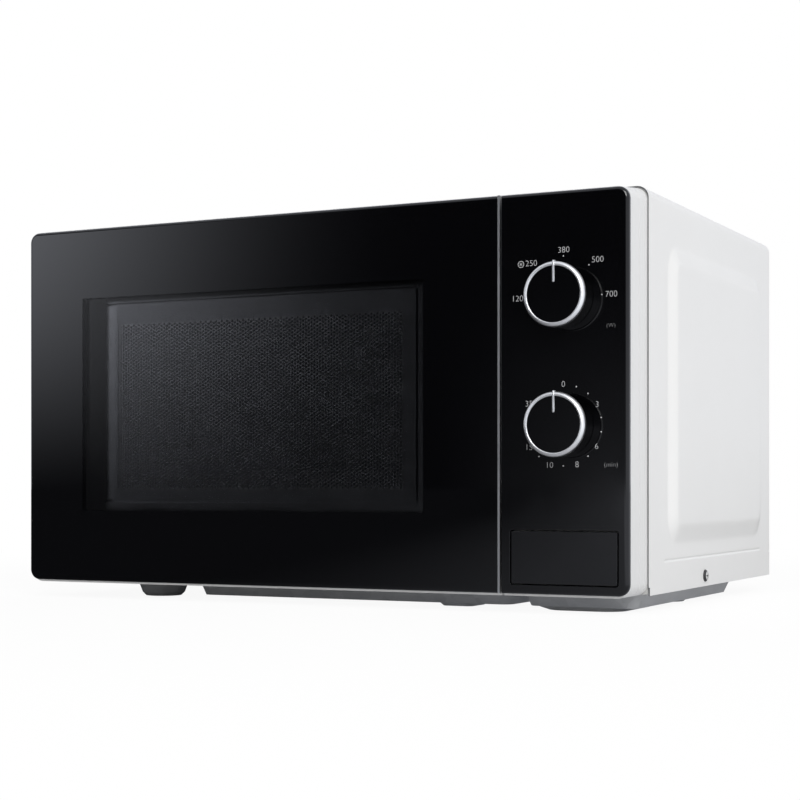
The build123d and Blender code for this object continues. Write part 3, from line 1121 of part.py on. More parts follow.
def make_interlock_switches():
    """Three small switches: two at the lower hook arm and one at the upper."""
    first_x = (BOARD_SIDE_X[1], BOARD_SIDE_X[1] + SWITCH_WIDTH)
    second_x = (first_x[1] + SEAT_GAP, first_x[1] + SEAT_GAP + SWITCH_WIDTH)
    places = [(first_x, HOOK_ARMS_Z[0]), (second_x, HOOK_ARMS_Z[0]), (first_x, HOOK_ARMS_Z[1])]
    plunger_depth = (HOOK_REACH + PLUNGER_GAP, SWITCH_DEPTH[0])
    switches = Part()
    for x, arm_z in places:
        body = block(x, SWITCH_DEPTH, around(arm_z + HOOK_BARB / 2, SWITCH_HEIGHT))
        plunger_x = min(max(mid(x), HOOK_X[0] + 2 * PLUNGER_RADIUS), HOOK_X[1] - 2 * PLUNGER_RADIUS)
        switches += body + rod_along_depth(PLUNGER_RADIUS, plunger_x, plunger_depth, arm_z + HOOK_BARB / 2)
    return switches


def turned(points):
    """A shape turned about the turntable's axis from (radius, z) points."""
    face = Plane.XZ * Polygon(*points, align=None)
    return Pos(TURN_X, FRONT_Y + TURN_DEPTH, 0) * revolve(face, Axis.Z)


def spoke(radii, width, z, angle):
    """A bar lying outward from the turntable's axis at an angle."""
    bar = Pos(mid(radii), 0, mid(z)) * Box(length(radii), width, length(z))
    return Pos(TURN_X, FRONT_Y + TURN_DEPTH, 0) * Rot(0, 0, angle) * bar


def radial_rod(radius, radii, angle):
    """A rod at axle height lying outward from the turntable's axis at an angle."""
    rod = Pos(mid(radii), 0, AXLE_Z) * Rot(0, 90, 0) * Cylinder(radius, length(radii))
    return Pos(TURN_X, FRONT_Y + TURN_DEPTH, 0) * Rot(0, 0, angle) * rod


def make_turntable_motor():
    """The flat motor under the cavity floor, with two fixing ears."""
    motor = rod_upright(MOTOR_RADIUS, TURN_X, TURN_DEPTH, MOTOR_Z)
    ear_z = (MOTOR_Z[1] - MOTOR_EAR_HEIGHT, MOTOR_Z[1])
    motor += block(around(TURN_X, 2 * MOTOR_EAR_REACH), around(TURN_DEPTH, MOTOR_EAR_WIDTH), ear_z)
    bore_z = (DRIVE_SHAFT_Z[0] - SEAT_GAP, MOTOR_Z[1] + CUT)
    return motor - rod_upright(DRIVE_SHAFT_RADIUS + RUNNING_GAP, TURN_X, TURN_DEPTH, bore_z)


def make_turntable_coupler():
    """The drive shaft and the three-armed coupler that turns the tray."""
    arm_z = (COUPLER_TOP - COUPLER_ARM_HEIGHT, COUPLER_TOP)
    coupler = rod_upright(COUPLER_RADIUS, TURN_X, TURN_DEPTH, (CAVITY_Z[0] + SEAT_GAP, COUPLER_TOP))
    coupler += rod_upright(DRIVE_SHAFT_RADIUS, TURN_X, TURN_DEPTH, DRIVE_SHAFT_Z)
    for angle in WHEEL_ANGLES:
        coupler += spoke((0.0, COUPLER_ARM_LENGTH), COUPLER_ARM_WIDTH, arm_z, angle)
    return coupler


def make_roller_ring():
    """The ring under the tray with the three axles of its wheels."""
    ring_z = around(AXLE_Z, ROLLER_RING_HEIGHT)
    ring = rod_upright(ROLLER_RING_OUTER, TURN_X, TURN_DEPTH, ring_z)
    ring -= rod_upright(ROLLER_RING_INNER, TURN_X, TURN_DEPTH, grow(ring_z, CUT))
    for angle in WHEEL_ANGLES:
        cap = (WHEEL_RADII[1] + SEAT_GAP, WHEEL_RADII[1] + AXLE_CAP)
        ring += radial_rod(AXLE_RADIUS, (mid((ROLLER_RING_INNER, ROLLER_RING_OUTER)), cap[1]), angle)
        ring += radial_rod(2 * AXLE_RADIUS, cap, angle)
    return ring


def make_roller_wheel(angle):
    """One wheel of the roller ring."""
    wheel = radial_rod(WHEEL_RADIUS, WHEEL_RADII, angle)
    return wheel - radial_rod(AXLE_RADIUS + RUNNING_GAP, grow(WHEEL_RADII, CUT), angle)


def make_glass_tray():
    """The round glass tray, raised at its rim, with three driving lugs under its middle."""
    rim = TRAY_Z + TRAY_RIM_RISE
    tray = turned(
        [
            (0.0, TRAY_Z),
            (TRAY_FLAT_RADIUS, TRAY_Z),
            (TRAY_RADIUS - TRAY_THICKNESS, rim - TRAY_THICKNESS),
            (TRAY_RADIUS, rim),
            (TRAY_RADIUS - TRAY_THICKNESS, rim),
            (TRAY_FLAT_RADIUS - TRAY_THICKNESS / 2, TRAY_Z + TRAY_THICKNESS),
            (0.0, TRAY_Z + TRAY_THICKNESS),
        ]
    )
    lug_z = (COUPLER_TOP - COUPLER_ARM_HEIGHT, TRAY_Z)
    lug_radii = (COUPLER_RADIUS + SEAT_GAP, COUPLER_ARM_LENGTH)
    for angle in WHEEL_ANGLES:
        tray += spoke(lug_radii, COUPLER_ARM_WIDTH, lug_z, angle + LUG_TURN)
    return tray


def make_waveguide():
    """The sheet-metal box that leads from the magnetron to the cavity."""
    guide = block(WAVEGUIDE_X, WAVEGUIDE_DEPTH, WAVEGUIDE_Z)
    inner_x = (WAVEGUIDE_X[0] - CUT, WAVEGUIDE_X[1] - GUIDE_WALL)
    guide -= block(inner_x, grow(WAVEGUIDE_DEPTH, -GUIDE_WALL), grow(WAVEGUIDE_Z, -GUIDE_WALL))
    hole_x = grow((inner_x[1], WAVEGUIDE_X[1]), CUT)
    return guide - rod_along_x(ANTENNA_HOLE_RADIUS, hole_x, mid(WAVEGUIDE_DEPTH), mid(WAVEGUIDE_Z))


def make_waveguide_cover():
    """The thin plate that covers the waveguide's mouth inside the cavity."""
    x = (CAVITY_X[1] - MICA_THICKNESS, CAVITY_X[1])
    return block(x, grow(APERTURE_DEPTH, MICA_LAP), grow(APERTURE_Z, MICA_LAP))


def make_magnetron_yoke():
    """The steel frame of the magnetron, open for air, with the filter box below it."""
    yoke = block(YOKE_X, YOKE_DEPTH, YOKE_Z)
    yoke -= block(grow(YOKE_X, -YOKE_WALL), grow(YOKE_DEPTH, CUT), grow(YOKE_Z, -YOKE_WALL))
    yoke += block(
        grow(YOKE_X, -FILTER_BOX_INSET),
        grow(YOKE_DEPTH, -FILTER_BOX_INSET),
        (YOKE_Z[0] - FILTER_BOX_HEIGHT, YOKE_Z[0]),
    )
    hole_x = (YOKE_X[0] - CUT, YOKE_X[0] + YOKE_WALL + CUT)
    return yoke - rod_along_x(ANTENNA_HOLE_RADIUS, hole_x, mid(YOKE_DEPTH), mid(YOKE_Z))


def make_magnetron_tube():
    """The anode with its cooling fins, and the antenna reaching into the waveguide."""
    inside = grow(YOKE_X, -YOKE_WALL)
    centre = (mid(YOKE_DEPTH), mid(YOKE_Z))
    tube = rod_along_x(ANODE_RADIUS, inside, *centre)
    for index in range(FIN_COUNT):
        x = inside[0] + length(inside) * (index + 1) / (FIN_COUNT + 1)
        tube += block(around(x, FIN_THICKNESS), grow(YOKE_DEPTH, -FIN_MARGIN), grow(YOKE_Z, -FIN_MARGIN))
    return tube + rod_along_x(ANTENNA_RADIUS, (inside[0] - ANTENNA_LENGTH, inside[0]), *centre)


def make_transformer_core():
    """The laminated iron core with two windows."""
    core = block(CORE_X, CORE_DEPTH, CORE_Z)
    for window_x in CORE_WINDOWS_X:
        core -= block(window_x, grow(CORE_DEPTH, CUT), CORE_WINDOW_Z)
    return core


def make_transformer_windings():
    """The primary and secondary windings round the middle leg of the core."""
    leg_x = (CORE_WINDOWS_X[0][1], CORE_WINDOWS_X[1][0])
    outer_x = (CORE_WINDOWS_X[0][0] + SEAT_GAP, CORE_WINDOWS_X[1][1] - SEAT_GAP)
    outer_depth = grow(CORE_DEPTH, WINDING_OVERHANG)
    half = mid(CORE_WINDOW_Z)
    lower = (CORE_WINDOW_Z[0] + SEAT_GAP, half - WINDING_SPLIT / 2)
    upper = (half + WINDING_SPLIT / 2, CORE_WINDOW_Z[1] - SEAT_GAP)
    windings = Part()
    for z in (lower, upper):
        winding = block(outer_x, outer_depth, z)
        winding = fillet(winding.edges().filter_by(Axis.Z), WINDING_ROUND)
        windings += winding - block(grow(leg_x, SEAT_GAP), grow(CORE_DEPTH, SEAT_GAP), grow(z, CUT))
    return windings


def make_capacitor():
    """The oval high-voltage capacitor, standing, with two terminals."""
    oval = SlotOverall(CAN_WIDTH, CAN_THICKNESS)
    can = Pos(MACHINE_X, FRONT_Y + mid(CAN_DEPTH), CAN_Z[0]) * extrude(oval, CAN_HEIGHT)
    for side in (-1, 1):
        x = MACHINE_X + side * TERMINAL_SPACING / 2
        can += rod_upright(TERMINAL_RADIUS, x, mid(CAN_DEPTH), (CAN_Z[1], TERMINAL_TOP))
    return can


def make_diode():
    """The high-voltage diode, lying across the capacitor's terminals."""
    x = around(MACHINE_X, DIODE_LENGTH)
    return rod_along_x(DIODE_RADIUS, x, mid(CAN_DEPTH), TERMINAL_TOP + DIODE_RADIUS + SEAT_GAP)


def make_fan_shroud():
    """The square ring round the fan, standing against the rear panel."""
    shroud = block(around(FAN_X, SHROUD_SIZE), SHROUD_DEPTH, around(FAN_Z, SHROUD_SIZE))
    return shroud - rod_along_depth(SHROUD_BORE_RADIUS, FAN_X, grow(SHROUD_DEPTH, CUT), FAN_Z)


def make_fan_motor():
    """The motor in front of the fan, held to the shroud by two straps."""
    motor = block(around(FAN_X, FAN_MOTOR_WIDTH), FAN_MOTOR_DEPTH, around(FAN_Z, FAN_MOTOR_HEIGHT))
    strap_depth = (FAN_MOTOR_DEPTH[1] - FAN_STRAP_SHEET, FAN_MOTOR_DEPTH[1])
    motor += block(around(FAN_X, 2 * FAN_STRAP_REACH), strap_depth, around(FAN_Z, FAN_STRAP_WIDTH))
    for side in (-1, 1):
        end = FAN_X + side * (FAN_STRAP_REACH - FAN_STRAP_SHEET / 2)
        legs = (strap_depth[0], SHROUD_DEPTH[0])
        motor += block(around(end, FAN_STRAP_SHEET), legs, around(FAN_Z, FAN_STRAP_WIDTH))
    bore = (FAN_SHAFT_SPAN[0] - SEAT_GAP, FAN_MOTOR_DEPTH[1] + CUT)
    return motor - rod_along_depth(FAN_SHAFT_RADIUS + RUNNING_GAP, FAN_X, bore, FAN_Z)


def make_fan_blade():
    """The fan's hub, shaft and pitched blades."""
    fan = rod_along_depth(FAN_HUB_RADIUS, FAN_X, FAN_HUB_DEPTH, FAN_Z)
    fan += rod_along_depth(FAN_SHAFT_RADIUS, FAN_X, FAN_SHAFT_SPAN, FAN_Z)
    radii = (FAN_HUB_RADIUS - BLADE_ROOT, BLADE_RADIUS)
    blade = Pos(mid(radii), 0, 0) * Rot(BLADE_PITCH, 0, 0) * Box(length(radii), BLADE_SHEET, BLADE_CHORD)
    centre = Pos(FAN_X, FRONT_Y + mid(FAN_HUB_DEPTH), FAN_Z)
    for index in range(BLADE_COUNT):
        fan += centre * Rot(0, 360 / BLADE_COUNT * index, 0) * blade
    return fan


def make_lamp_holder():
    """The moulded cup on the cavity wall that holds the oven lamp."""
    holder = block(LAMP_X, LAMP_DEPTH, LAMP_Z)
    return holder - rod_along_x(LAMP_BORE_RADIUS, (LAMP_X[0] - CUT, BULB_END), mid(LAMP_DEPTH), mid(LAMP_Z))


def make_lamp_bulb():
    """The oven lamp's bulb, rounded at its free end."""
    bulb_x = (BULB_END - BULB_LENGTH + BULB_RADIUS, BULB_END)
    bulb = rod_along_x(BULB_RADIUS, bulb_x, mid(LAMP_DEPTH), mid(LAMP_Z))
    return bulb + Pos(bulb_x[0], FRONT_Y + mid(LAMP_DEPTH), mid(LAMP_Z)) * Sphere(BULB_RADIUS)


def make_noise_filter():
    """The small circuit board inside the rear panel, with its coil and fuse."""
    board = block(FILTER_X, FILTER_DEPTH, FILTER_Z)
    inset_x = grow(FILTER_X, -FILTER_POST_INSET)
    inset_z = grow(FILTER_Z, -FILTER_POST_INSET)
    for x in inset_x:
        for z in inset_z:
            board += rod_along_depth(FILTER_POST_RADIUS, x, (FILTER_DEPTH[1], REAR_DEPTH[0]), z)
    coil_depth = (FILTER_DEPTH[0] - FILTER_COIL_LENGTH, FILTER_DEPTH[0])
    board += rod_along_depth(FILTER_COIL_RADIUS, mid(FILTER_X), coil_depth, mid(FILTER_Z))
    fuse_x = around(mid(FILTER_X), FUSE_LENGTH)
    return board + rod_along_x(FUSE_RADIUS, fuse_x, FILTER_DEPTH[0] - FUSE_RADIUS / 2, inset_z[1])


def make_thermal_cutouts():
    """Two round thermal cut-outs on the outside of the cavity wall."""
    cutouts = Part()
    for depth in CUTOUT_DEPTHS:
        cutouts += rod_along_x(
            CUTOUT_RADIUS, (CAVITY_OUT_X[1], CAVITY_OUT_X[1] + CUTOUT_LENGTH), depth, CUTOUT_Z
        )
    return cutouts


# Body and cavity
save("outer_case", make_outer_case())
save("base_plate", make_base_plate())
save("feet", make_feet())
save("rear_panel", make_rear_panel())
save("case_screws", make_case_screws())
save("cord_gland", make_cord_gland())
save("front_plate", make_front_plate())
cavity_names = ("left_wall", "right_wall", "ceiling", "floor", "rear_wall")
for cavity_name, cavity_wall in zip(cavity_names, make_cavity_walls()):
    save(f"cavity_{cavity_name}", cavity_wall)

# Door
door_shape = outline(GLASS_X, FRONT_Z, bottom_left=FRONT_CORNER, top_left=FRONT_CORNER)
save("door_glass", round_front(upright_plate(door_shape, (0.0, FACE_THICKNESS)), GLASS_X[1]))
save("door_edge_trim", block((GLASS_X[1], DOOR_X[1]), (TRIM_SETBACK, FACE_THICKNESS), FRONT_Z))
save("door_frame", make_door_frame())
save("door_screen", make_door_screen())
save("door_choke_cover", make_door_choke_cover())
save("door_inner_window", block(INNER_WINDOW_X, INNER_WINDOW_DEPTH, INNER_WINDOW_Z))
save("upper_hinge", make_hinge(upper=True))
save("lower_hinge", make_hinge(upper=False))
save("latch_hook", make_latch_hook())
save("latch_spring", make_latch_spring())

# Controls
save("control_fascia", make_control_fascia())
save("control_housing", make_control_housing())
for dial_name, dial_z, unit_name, unit_size in (
    ("power", POWER_Z, "power_selector", SELECTOR_SIZE),
    ("timer", TIMER_Z, "timer_unit", TIMER_SIZE),
):
    save(f"{dial_name}_knob", make_knob(dial_z))
    save(f"{dial_name}_knob_trim", make_knob_trim(dial_z))
    save(f"{dial_name}_shaft", make_shaft(dial_z))
    save(unit_name, make_control_unit(unit_size, dial_z))
save("release_button", make_release_button())
save("button_spring", make_button_spring())
save("release_lever", make_release_lever())
save("latch_board", make_latch_board())
save("interlock_switches", make_interlock_switches())

# Turntable
save("turntable_motor", make_turntable_motor())
save("turntable_coupler", make_turntable_coupler())
save("roller_ring", make_roller_ring())
for number, wheel_angle in enumerate(WHEEL_ANGLES, start=1):
    save(f"roller_wheel_{number}", make_roller_wheel(wheel_angle))
save("glass_tray", make_glass_tray())

# Microwave source, electrics and cooling
save("waveguide", make_waveguide())
save("waveguide_cover", make_waveguide_cover())
save("magnetron_yoke", make_magnetron_yoke())
save("magnetron_tube", make_magnetron_tube())
save("transformer_core", make_transformer_core())
save("transformer_windings", make_transformer_windings())
save("high_voltage_capacitor", make_capacitor())
save("high_voltage_diode", make_diode())
save("fan_shroud", make_fan_shroud())
save("fan_motor", make_fan_motor())
save("fan_blade", make_fan_blade())
save("lamp_holder", make_lamp_holder())
save("lamp_bulb", make_lamp_bulb())
save("noise_filter", make_noise_filter())
save("thermal_cutouts", make_thermal_cutouts())
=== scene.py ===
"""Looks of a countertop microwave oven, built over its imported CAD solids.

Sizes are in millimetres unless a name says otherwise, and places are in the CAD frame: the front looks
along -Y and the feet stand on z = 0. Meshes are made in metres.
"""

import logging
import math
from collections.abc import Callable, Iterator, Mapping, Sequence
from contextlib import contextmanager
from dataclasses import dataclass, field
from enum import Enum
from typing import Any, Union

import bmesh
import bpy
import numpy as np
from mathutils import Matrix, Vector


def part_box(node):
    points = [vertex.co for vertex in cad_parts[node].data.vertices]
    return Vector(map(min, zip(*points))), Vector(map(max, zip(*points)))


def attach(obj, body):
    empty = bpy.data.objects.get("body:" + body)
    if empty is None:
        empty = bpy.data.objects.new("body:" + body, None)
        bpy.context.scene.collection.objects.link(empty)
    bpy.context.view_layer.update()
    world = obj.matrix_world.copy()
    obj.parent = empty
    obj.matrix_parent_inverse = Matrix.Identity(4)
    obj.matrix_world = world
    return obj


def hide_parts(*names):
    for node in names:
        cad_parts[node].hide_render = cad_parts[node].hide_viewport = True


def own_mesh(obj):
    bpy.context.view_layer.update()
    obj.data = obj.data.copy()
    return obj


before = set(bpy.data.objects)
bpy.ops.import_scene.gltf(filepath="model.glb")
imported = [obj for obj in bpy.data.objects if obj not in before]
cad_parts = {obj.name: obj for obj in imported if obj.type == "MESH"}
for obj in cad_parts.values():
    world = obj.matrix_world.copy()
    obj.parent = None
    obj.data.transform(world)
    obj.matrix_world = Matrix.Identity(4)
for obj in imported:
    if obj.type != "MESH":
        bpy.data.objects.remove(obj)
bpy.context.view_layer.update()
LOG = logging.getLogger("oven")
MM = 0.001
WELD = 1e-7  # metres
CLOSE = 1e-6
CUT_MARGIN = 1.0  # how far a cutting box stands out of what it cuts
BEVEL_SAMPLES = 4
FRONT_Y = -155.5  # the front plane of the door and the control panel

Piece = bpy.types.Object
Mesh = bpy.types.Mesh
Colour = tuple[float, float, float]
Point = tuple[float, float, float]
Span = tuple[float, float]
Number = Union["Value", float]


class Body(Enum):
    """The CAD bodies that new pieces ride on."""

    CHASSIS = "chassis"
    DOOR = "door"
    POWER_DIAL = "power_dial"
    TIMER_DIAL = "timer_dial"


class Axis(Enum):
    """The directions that a line pattern or a spring can run along."""

    X = 0
    Y = 1
    Z = 2


# Node trees


def math_method(operation: str, swapped: bool = False) -> Callable[..., "Value"]:
    """Make a method of Value that puts it through a Math node.

    Args:
        operation: The node's operation.
        swapped: Whether the value comes after the other operand.

    Returns:
        The method.
    """

    def method(self: "Value", *others: Number) -> "Value":
        """The outcome of the operation."""
        operands = (*others, self) if swapped else (self, *others)
        return self.math(operation, *operands)

    return method


class Value:
    """One output socket of a node tree, used in arithmetic."""

    def __init__(self, graph: "Graph", socket: bpy.types.NodeSocket) -> None:
        """Keep the socket and the graph that it belongs to."""
        self.graph = graph
        self.socket = socket

    def math(self, operation: str, *operands: Number) -> "Value":
        """A Math node on these operands."""
        return self.graph.node("ShaderNodeMath", {"operation": operation}, dict(enumerate(operands)))

    __add__ = math_method("ADD")
    __radd__ = math_method("ADD", swapped=True)
    __sub__ = math_method("SUBTRACT")
    __rsub__ = math_method("SUBTRACT", swapped=True)
    __mul__ = math_method("MULTIPLY")
    __rmul__ = math_method("MULTIPLY", swapped=True)
    __truediv__ = math_method("DIVIDE")
    __pow__ = math_method("POWER")
    __abs__ = math_method("ABSOLUTE")
    __mod__ = math_method("FLOORED_MODULO")
    floor = math_method("FLOOR")
    sine = math_method("SINE")
    at_least = math_method("MAXIMUM")
    at_most = math_method("MINIMUM")
    above = math_method("GREATER_THAN")

    def eased(self, low: float, high: float) -> "Value":
        """Zero up to low, one from high on, and a smooth rise between them.

        Args:
            low: Where the rise starts.
            high: Where it ends.

        Returns:
            The eased value.
        """
        settings = {"interpolation_type": "SMOOTHSTEP"}
        sockets = {"Value": self, "From Min": low, "From Max": high}
        return self.graph.node("ShaderNodeMapRange", settings, sockets)

    def other(self, output: str) -> "Value":
        """Another output of the same node."""
        return Value(self.graph, self.socket.node.outputs[output])


class Graph:
    """A node tree being written."""

    def __init__(self, tree: bpy.types.NodeTree) -> None:
        """Empty the tree and keep it."""
        self.tree = tree
        tree.nodes.clear()

    def node(
        self,
        kind: str,
        settings: Mapping[str, Any] | None = None,
        sockets: Mapping[Any, Any] | None = None,
        output: Any = 0,
    ) -> Value:
        """Add one node.

        Args:
            kind: The node's type.
            settings: Its properties, set first.
            sockets: Values or links of its inputs, by name or by place.
            output: The output to use, by name or by place.

        Returns:
            That output.
        """
        node = self.tree.nodes.new(kind)
        for name, value in (settings or {}).items():
            setattr(node, name, value)
        for key, value in (sockets or {}).items():
            if isinstance(value, Value):
                self.tree.links.new(value.socket, node.inputs[key])
            else:
                node.inputs[key].default_value = value
        return Value(self, node.outputs[output]) if len(node.outputs) else Value(self, node.inputs[0])

    def mix(self, factor: Number, first: Any, second: Any) -> Value:
        """A colour between two colours."""
        ends = {6: opaque(first), 7: opaque(second)}
        return self.node("ShaderNodeMix", {"data_type": "RGBA"}, {0: factor, **ends}, 2)

    def vector(self, operation: str, *operands: Any, output: Any = 0) -> Value:
        """A Vector Math node on these operands."""
        return self.node("ShaderNodeVectorMath", {"operation": operation}, dict(enumerate(operands)), output)

    def combine(self, x: Number, y: Number, z: Number) -> Value:
        """A vector from three values."""
        return self.node("ShaderNodeCombineXYZ", None, {0: x, 1: y, 2: z})

    def split(self, vector: Value) -> tuple[Value, Value, Value]:
        """The three values of a vector."""
        first = self.node("ShaderNodeSeparateXYZ", None, {0: vector})
        return first, first.other("Y"), first.other("Z")


def opaque(colour: Any) -> Any:
    """A colour with full alpha, where it is written as three numbers."""
    return (*colour, 1.0) if isinstance(colour, tuple) and len(colour) == 3 else colour


def shade_of(colour: Colour, share: float) -> Colour:
    """The same colour made darker or lighter by a share."""
    return tuple(min(1.0, part * share) for part in colour)


class Shader(Graph):
    """The node tree of one material, on Object coordinates."""

    def __init__(self, name: str) -> None:
        """Start an empty material.

        Args:
            name: The material's name.
        """
        self.material = bpy.data.materials.new(name)
        self.material.use_nodes = True
        super().__init__(self.material.node_tree)
        self.place = self.node("ShaderNodeTexCoord", output="Object")

    def placed(self, centre: Point = (0.0, 0.0, 0.0), stretch: Point = (1.0, 1.0, 1.0)) -> Value:
        """Object coordinates about a centre, stretched along each direction.

        Args:
            centre: The centre in millimetres.
            stretch: The share by which each direction is stretched.

        Returns:
            The coordinates.
        """
        offset = tuple(-MM * part * share for part, share in zip(centre, stretch, strict=True))
        sockets = {"Vector": self.place, "Location": offset, "Scale": stretch}
        return self.node("ShaderNodeMapping", None, sockets)

    def noise(self, size: float, detail: float = 2.0, where: Value | None = None) -> Value:
        """Soft noise between 0 and 1 with features of a size in millimetres."""
        sockets = {"Vector": where or self.place, "Scale": 1.0 / (size * MM), "Detail": detail}
        return self.node("ShaderNodeTexNoise", None, sockets, "Fac")

    def cells(self, size: float, output: str = "Distance", where: Value | None = None) -> Value:
        """A cell pattern with cells of a size in millimetres."""
        sockets = {"Vector": where or self.place, "Scale": 1.0 / (size * MM)}
        return self.node("ShaderNodeTexVoronoi", None, sockets, output)

    def ripple(self, distance: Value, pitch: float) -> Value:
        """Even ridges between 0 and 1 along a distance in metres, by their pitch in millimetres."""
        return 0.5 + 0.5 * (distance * (2.0 * math.pi / (pitch * MM))).sine()

    def bump(self, height: Value, depth: float, edge_round: float = 0.0) -> Value:
        """A normal from a height between 0 and 1.

        Args:
            height: The height over the surface.
            depth: What a height of 1 stands for, in millimetres.
            edge_round: How far edges are rounded in the shading, in millimetres.

        Returns:
            The normal.
        """
        sockets = {"Height": height, "Distance": depth * MM, "Strength": 1.0}
        if edge_round > 0.0:
            rounding = {"Radius": edge_round * MM}
            sockets["Normal"] = self.node("ShaderNodeBevel", {"samples": BEVEL_SAMPLES}, rounding)
        return self.node("ShaderNodeBump", None, sockets)

    def toned(self, factor: Value, colour: Colour, darkest: float) -> Value:
        """A colour that falls to a share of itself where a value is low."""
        return self.mix(factor, shade_of(colour, darkest), colour)

    @staticmethod
    def varied(middle: Number, change: float, by: Value) -> Value:
        """A middle that a value between 0 and 1 moves up and down."""
        return middle + change * (by - 0.5)

    def see_through(self) -> None:
        """Let the material blend with what lies behind it."""
        self.material.surface_render_method = "BLENDED"

    def principled(self, sockets: Mapping[str, Any]) -> Value:
        """A Principled shader with these sockets."""
        ready = {name: opaque(value) for name, value in sockets.items()}
        return self.node("ShaderNodeBsdfPrincipled", None, ready)

    def finish(self, surface: Value) -> None:
        """Make a shader the material's surface."""
        self.node("ShaderNodeOutputMaterial", None, {"Surface": surface})


# Finishes


@dataclass(frozen=True)
class Finish:
    """A material with its detail worked out over the surface."""

    name: str

    def material(self) -> bpy.types.Material:
        """The Blender material, made on first use.

        Returns:
            The material.
        """
        found = bpy.data.materials.get(self.name)
        if found is None:
            shader = Shader(self.name)
            shader.finish(self.surface(shader))
            found = shader.material
        return found

    def surface(self, shader: Shader) -> Value:
        """The surface, which for most finishes is one Principled shader."""
        return shader.principled(self.sockets(shader))

    def sockets(self, shader: Shader) -> dict[str, Any]:
        """The Principled shader's inputs."""
        raise NotImplementedError(self.name)


@dataclass(frozen=True)
class BakedPaint(Finish):
    """Paint, enamel or a satin finish on sheet steel: a fine peel, slow changes of tone, handling marks."""

    colour: Colour
    roughness: float = 0.36
    metallic: float = 0.0
    peel_size: float = 1.7
    peel_depth: float = 0.012
    tone_size: float = 90.0
    tone_change: float = 0.035
    rub_size: float = 26.0
    rub_stretch: Point = (1.0, 1.0, 3.0)
    rub_change: float = 0.12
    speck_size: float = 2.6
    speck_core: float = 0.05
    speck_share: float = 0.0
    speck_colour: Colour = (0.1, 0.1, 0.1)
    patch_size: float = 7.0
    patch_cover: Span = (0.45, 0.6)

    def sockets(self, shader: Shader) -> dict[str, Any]:
        """The Principled shader's inputs.

        Args:
            shader: The material's node tree.

        Returns:
            The inputs, by name.
        """
        tone = shader.noise(self.tone_size, detail=3.0)
        rub = shader.noise(self.rub_size, detail=5.0, where=shader.placed(stretch=self.rub_stretch))
        colour = shader.toned(tone, self.colour, 1.0 - self.tone_change)
        if self.speck_share > 0.0:
            edge = self.speck_core + self.speck_share
            speck = 1.0 - shader.cells(self.speck_size).eased(self.speck_core, edge)
            patch = shader.noise(self.patch_size).eased(*self.patch_cover)
            colour = shader.mix(speck * patch, colour, self.speck_colour)
        return {
            "Base Color": colour,
            "Metallic": self.metallic,
            "Roughness": shader.varied(self.roughness, self.rub_change, rub),
            "Normal": shader.bump(shader.noise(self.peel_size, detail=1.0), self.peel_depth),
        }


@dataclass(frozen=True)
class MouldedPlastic(Finish):
    """Injection-moulded plastic: a fine spark grain, flow marks and a little sheen from handling."""

    colour: Colour
    roughness: float = 0.42
    grain_size: float = 0.7
    grain_depth: float = 0.012
    flow_size: float = 60.0
    flow_stretch: Point = (1.0, 1.0, 0.35)
    tone_change: float = 0.05
    handled_size: float = 18.0
    handled_change: float = 0.16
    edge_round: float = 0.25

    def sockets(self, shader: Shader) -> dict[str, Any]:
        """The Principled shader's inputs.

        Args:
            shader: The material's node tree.

        Returns:
            The inputs, by name.
        """
        flow = shader.noise(self.flow_size, where=shader.placed(stretch=self.flow_stretch))
        handled = shader.noise(self.handled_size, detail=4.0)
        return {
            "Base Color": shader.toned(flow, self.colour, 1.0 - self.tone_change),
            "Roughness": shader.varied(self.roughness, self.handled_change, handled),
            "Normal": shader.bump(shader.noise(self.grain_size), self.grain_depth, self.edge_round),
        }


@dataclass(frozen=True)
class BlackGloss(Finish):
    """Piano-black plastic: near mirror, with a trace of dust and finger haze in its gloss."""

    colour: Colour = (0.0010, 0.0010, 0.0014)
    roughness: float = 0.07
    haze: float = 0.05
    smear_size: float = 34.0
    smear_cover: Span = (0.42, 0.75)
    dust_size: float = 5.0
    dust_edge: Span = (0.02, 0.05)
    dust_share: float = 0.2
    dust_colour: Colour = (0.05, 0.05, 0.05)
    wave_size: float = 22.0
    wave_depth: float = 0.004
    edge_round: float = 0.4

    def sockets(self, shader: Shader) -> dict[str, Any]:
        """The Principled shader's inputs.

        Args:
            shader: The material's node tree.

        Returns:
            The inputs, by name.
        """
        smear = shader.noise(self.smear_size, detail=4.0).eased(*self.smear_cover)
        dust = 1.0 - shader.cells(self.dust_size).eased(*self.dust_edge)
        wave = shader.noise(self.wave_size, detail=1.0)
        return {
            "Base Color": shader.mix(dust * self.dust_share, self.colour, self.dust_colour),
            "Roughness": self.roughness + self.haze * smear,
            "Normal": shader.bump(wave, self.wave_depth, self.edge_round),
        }


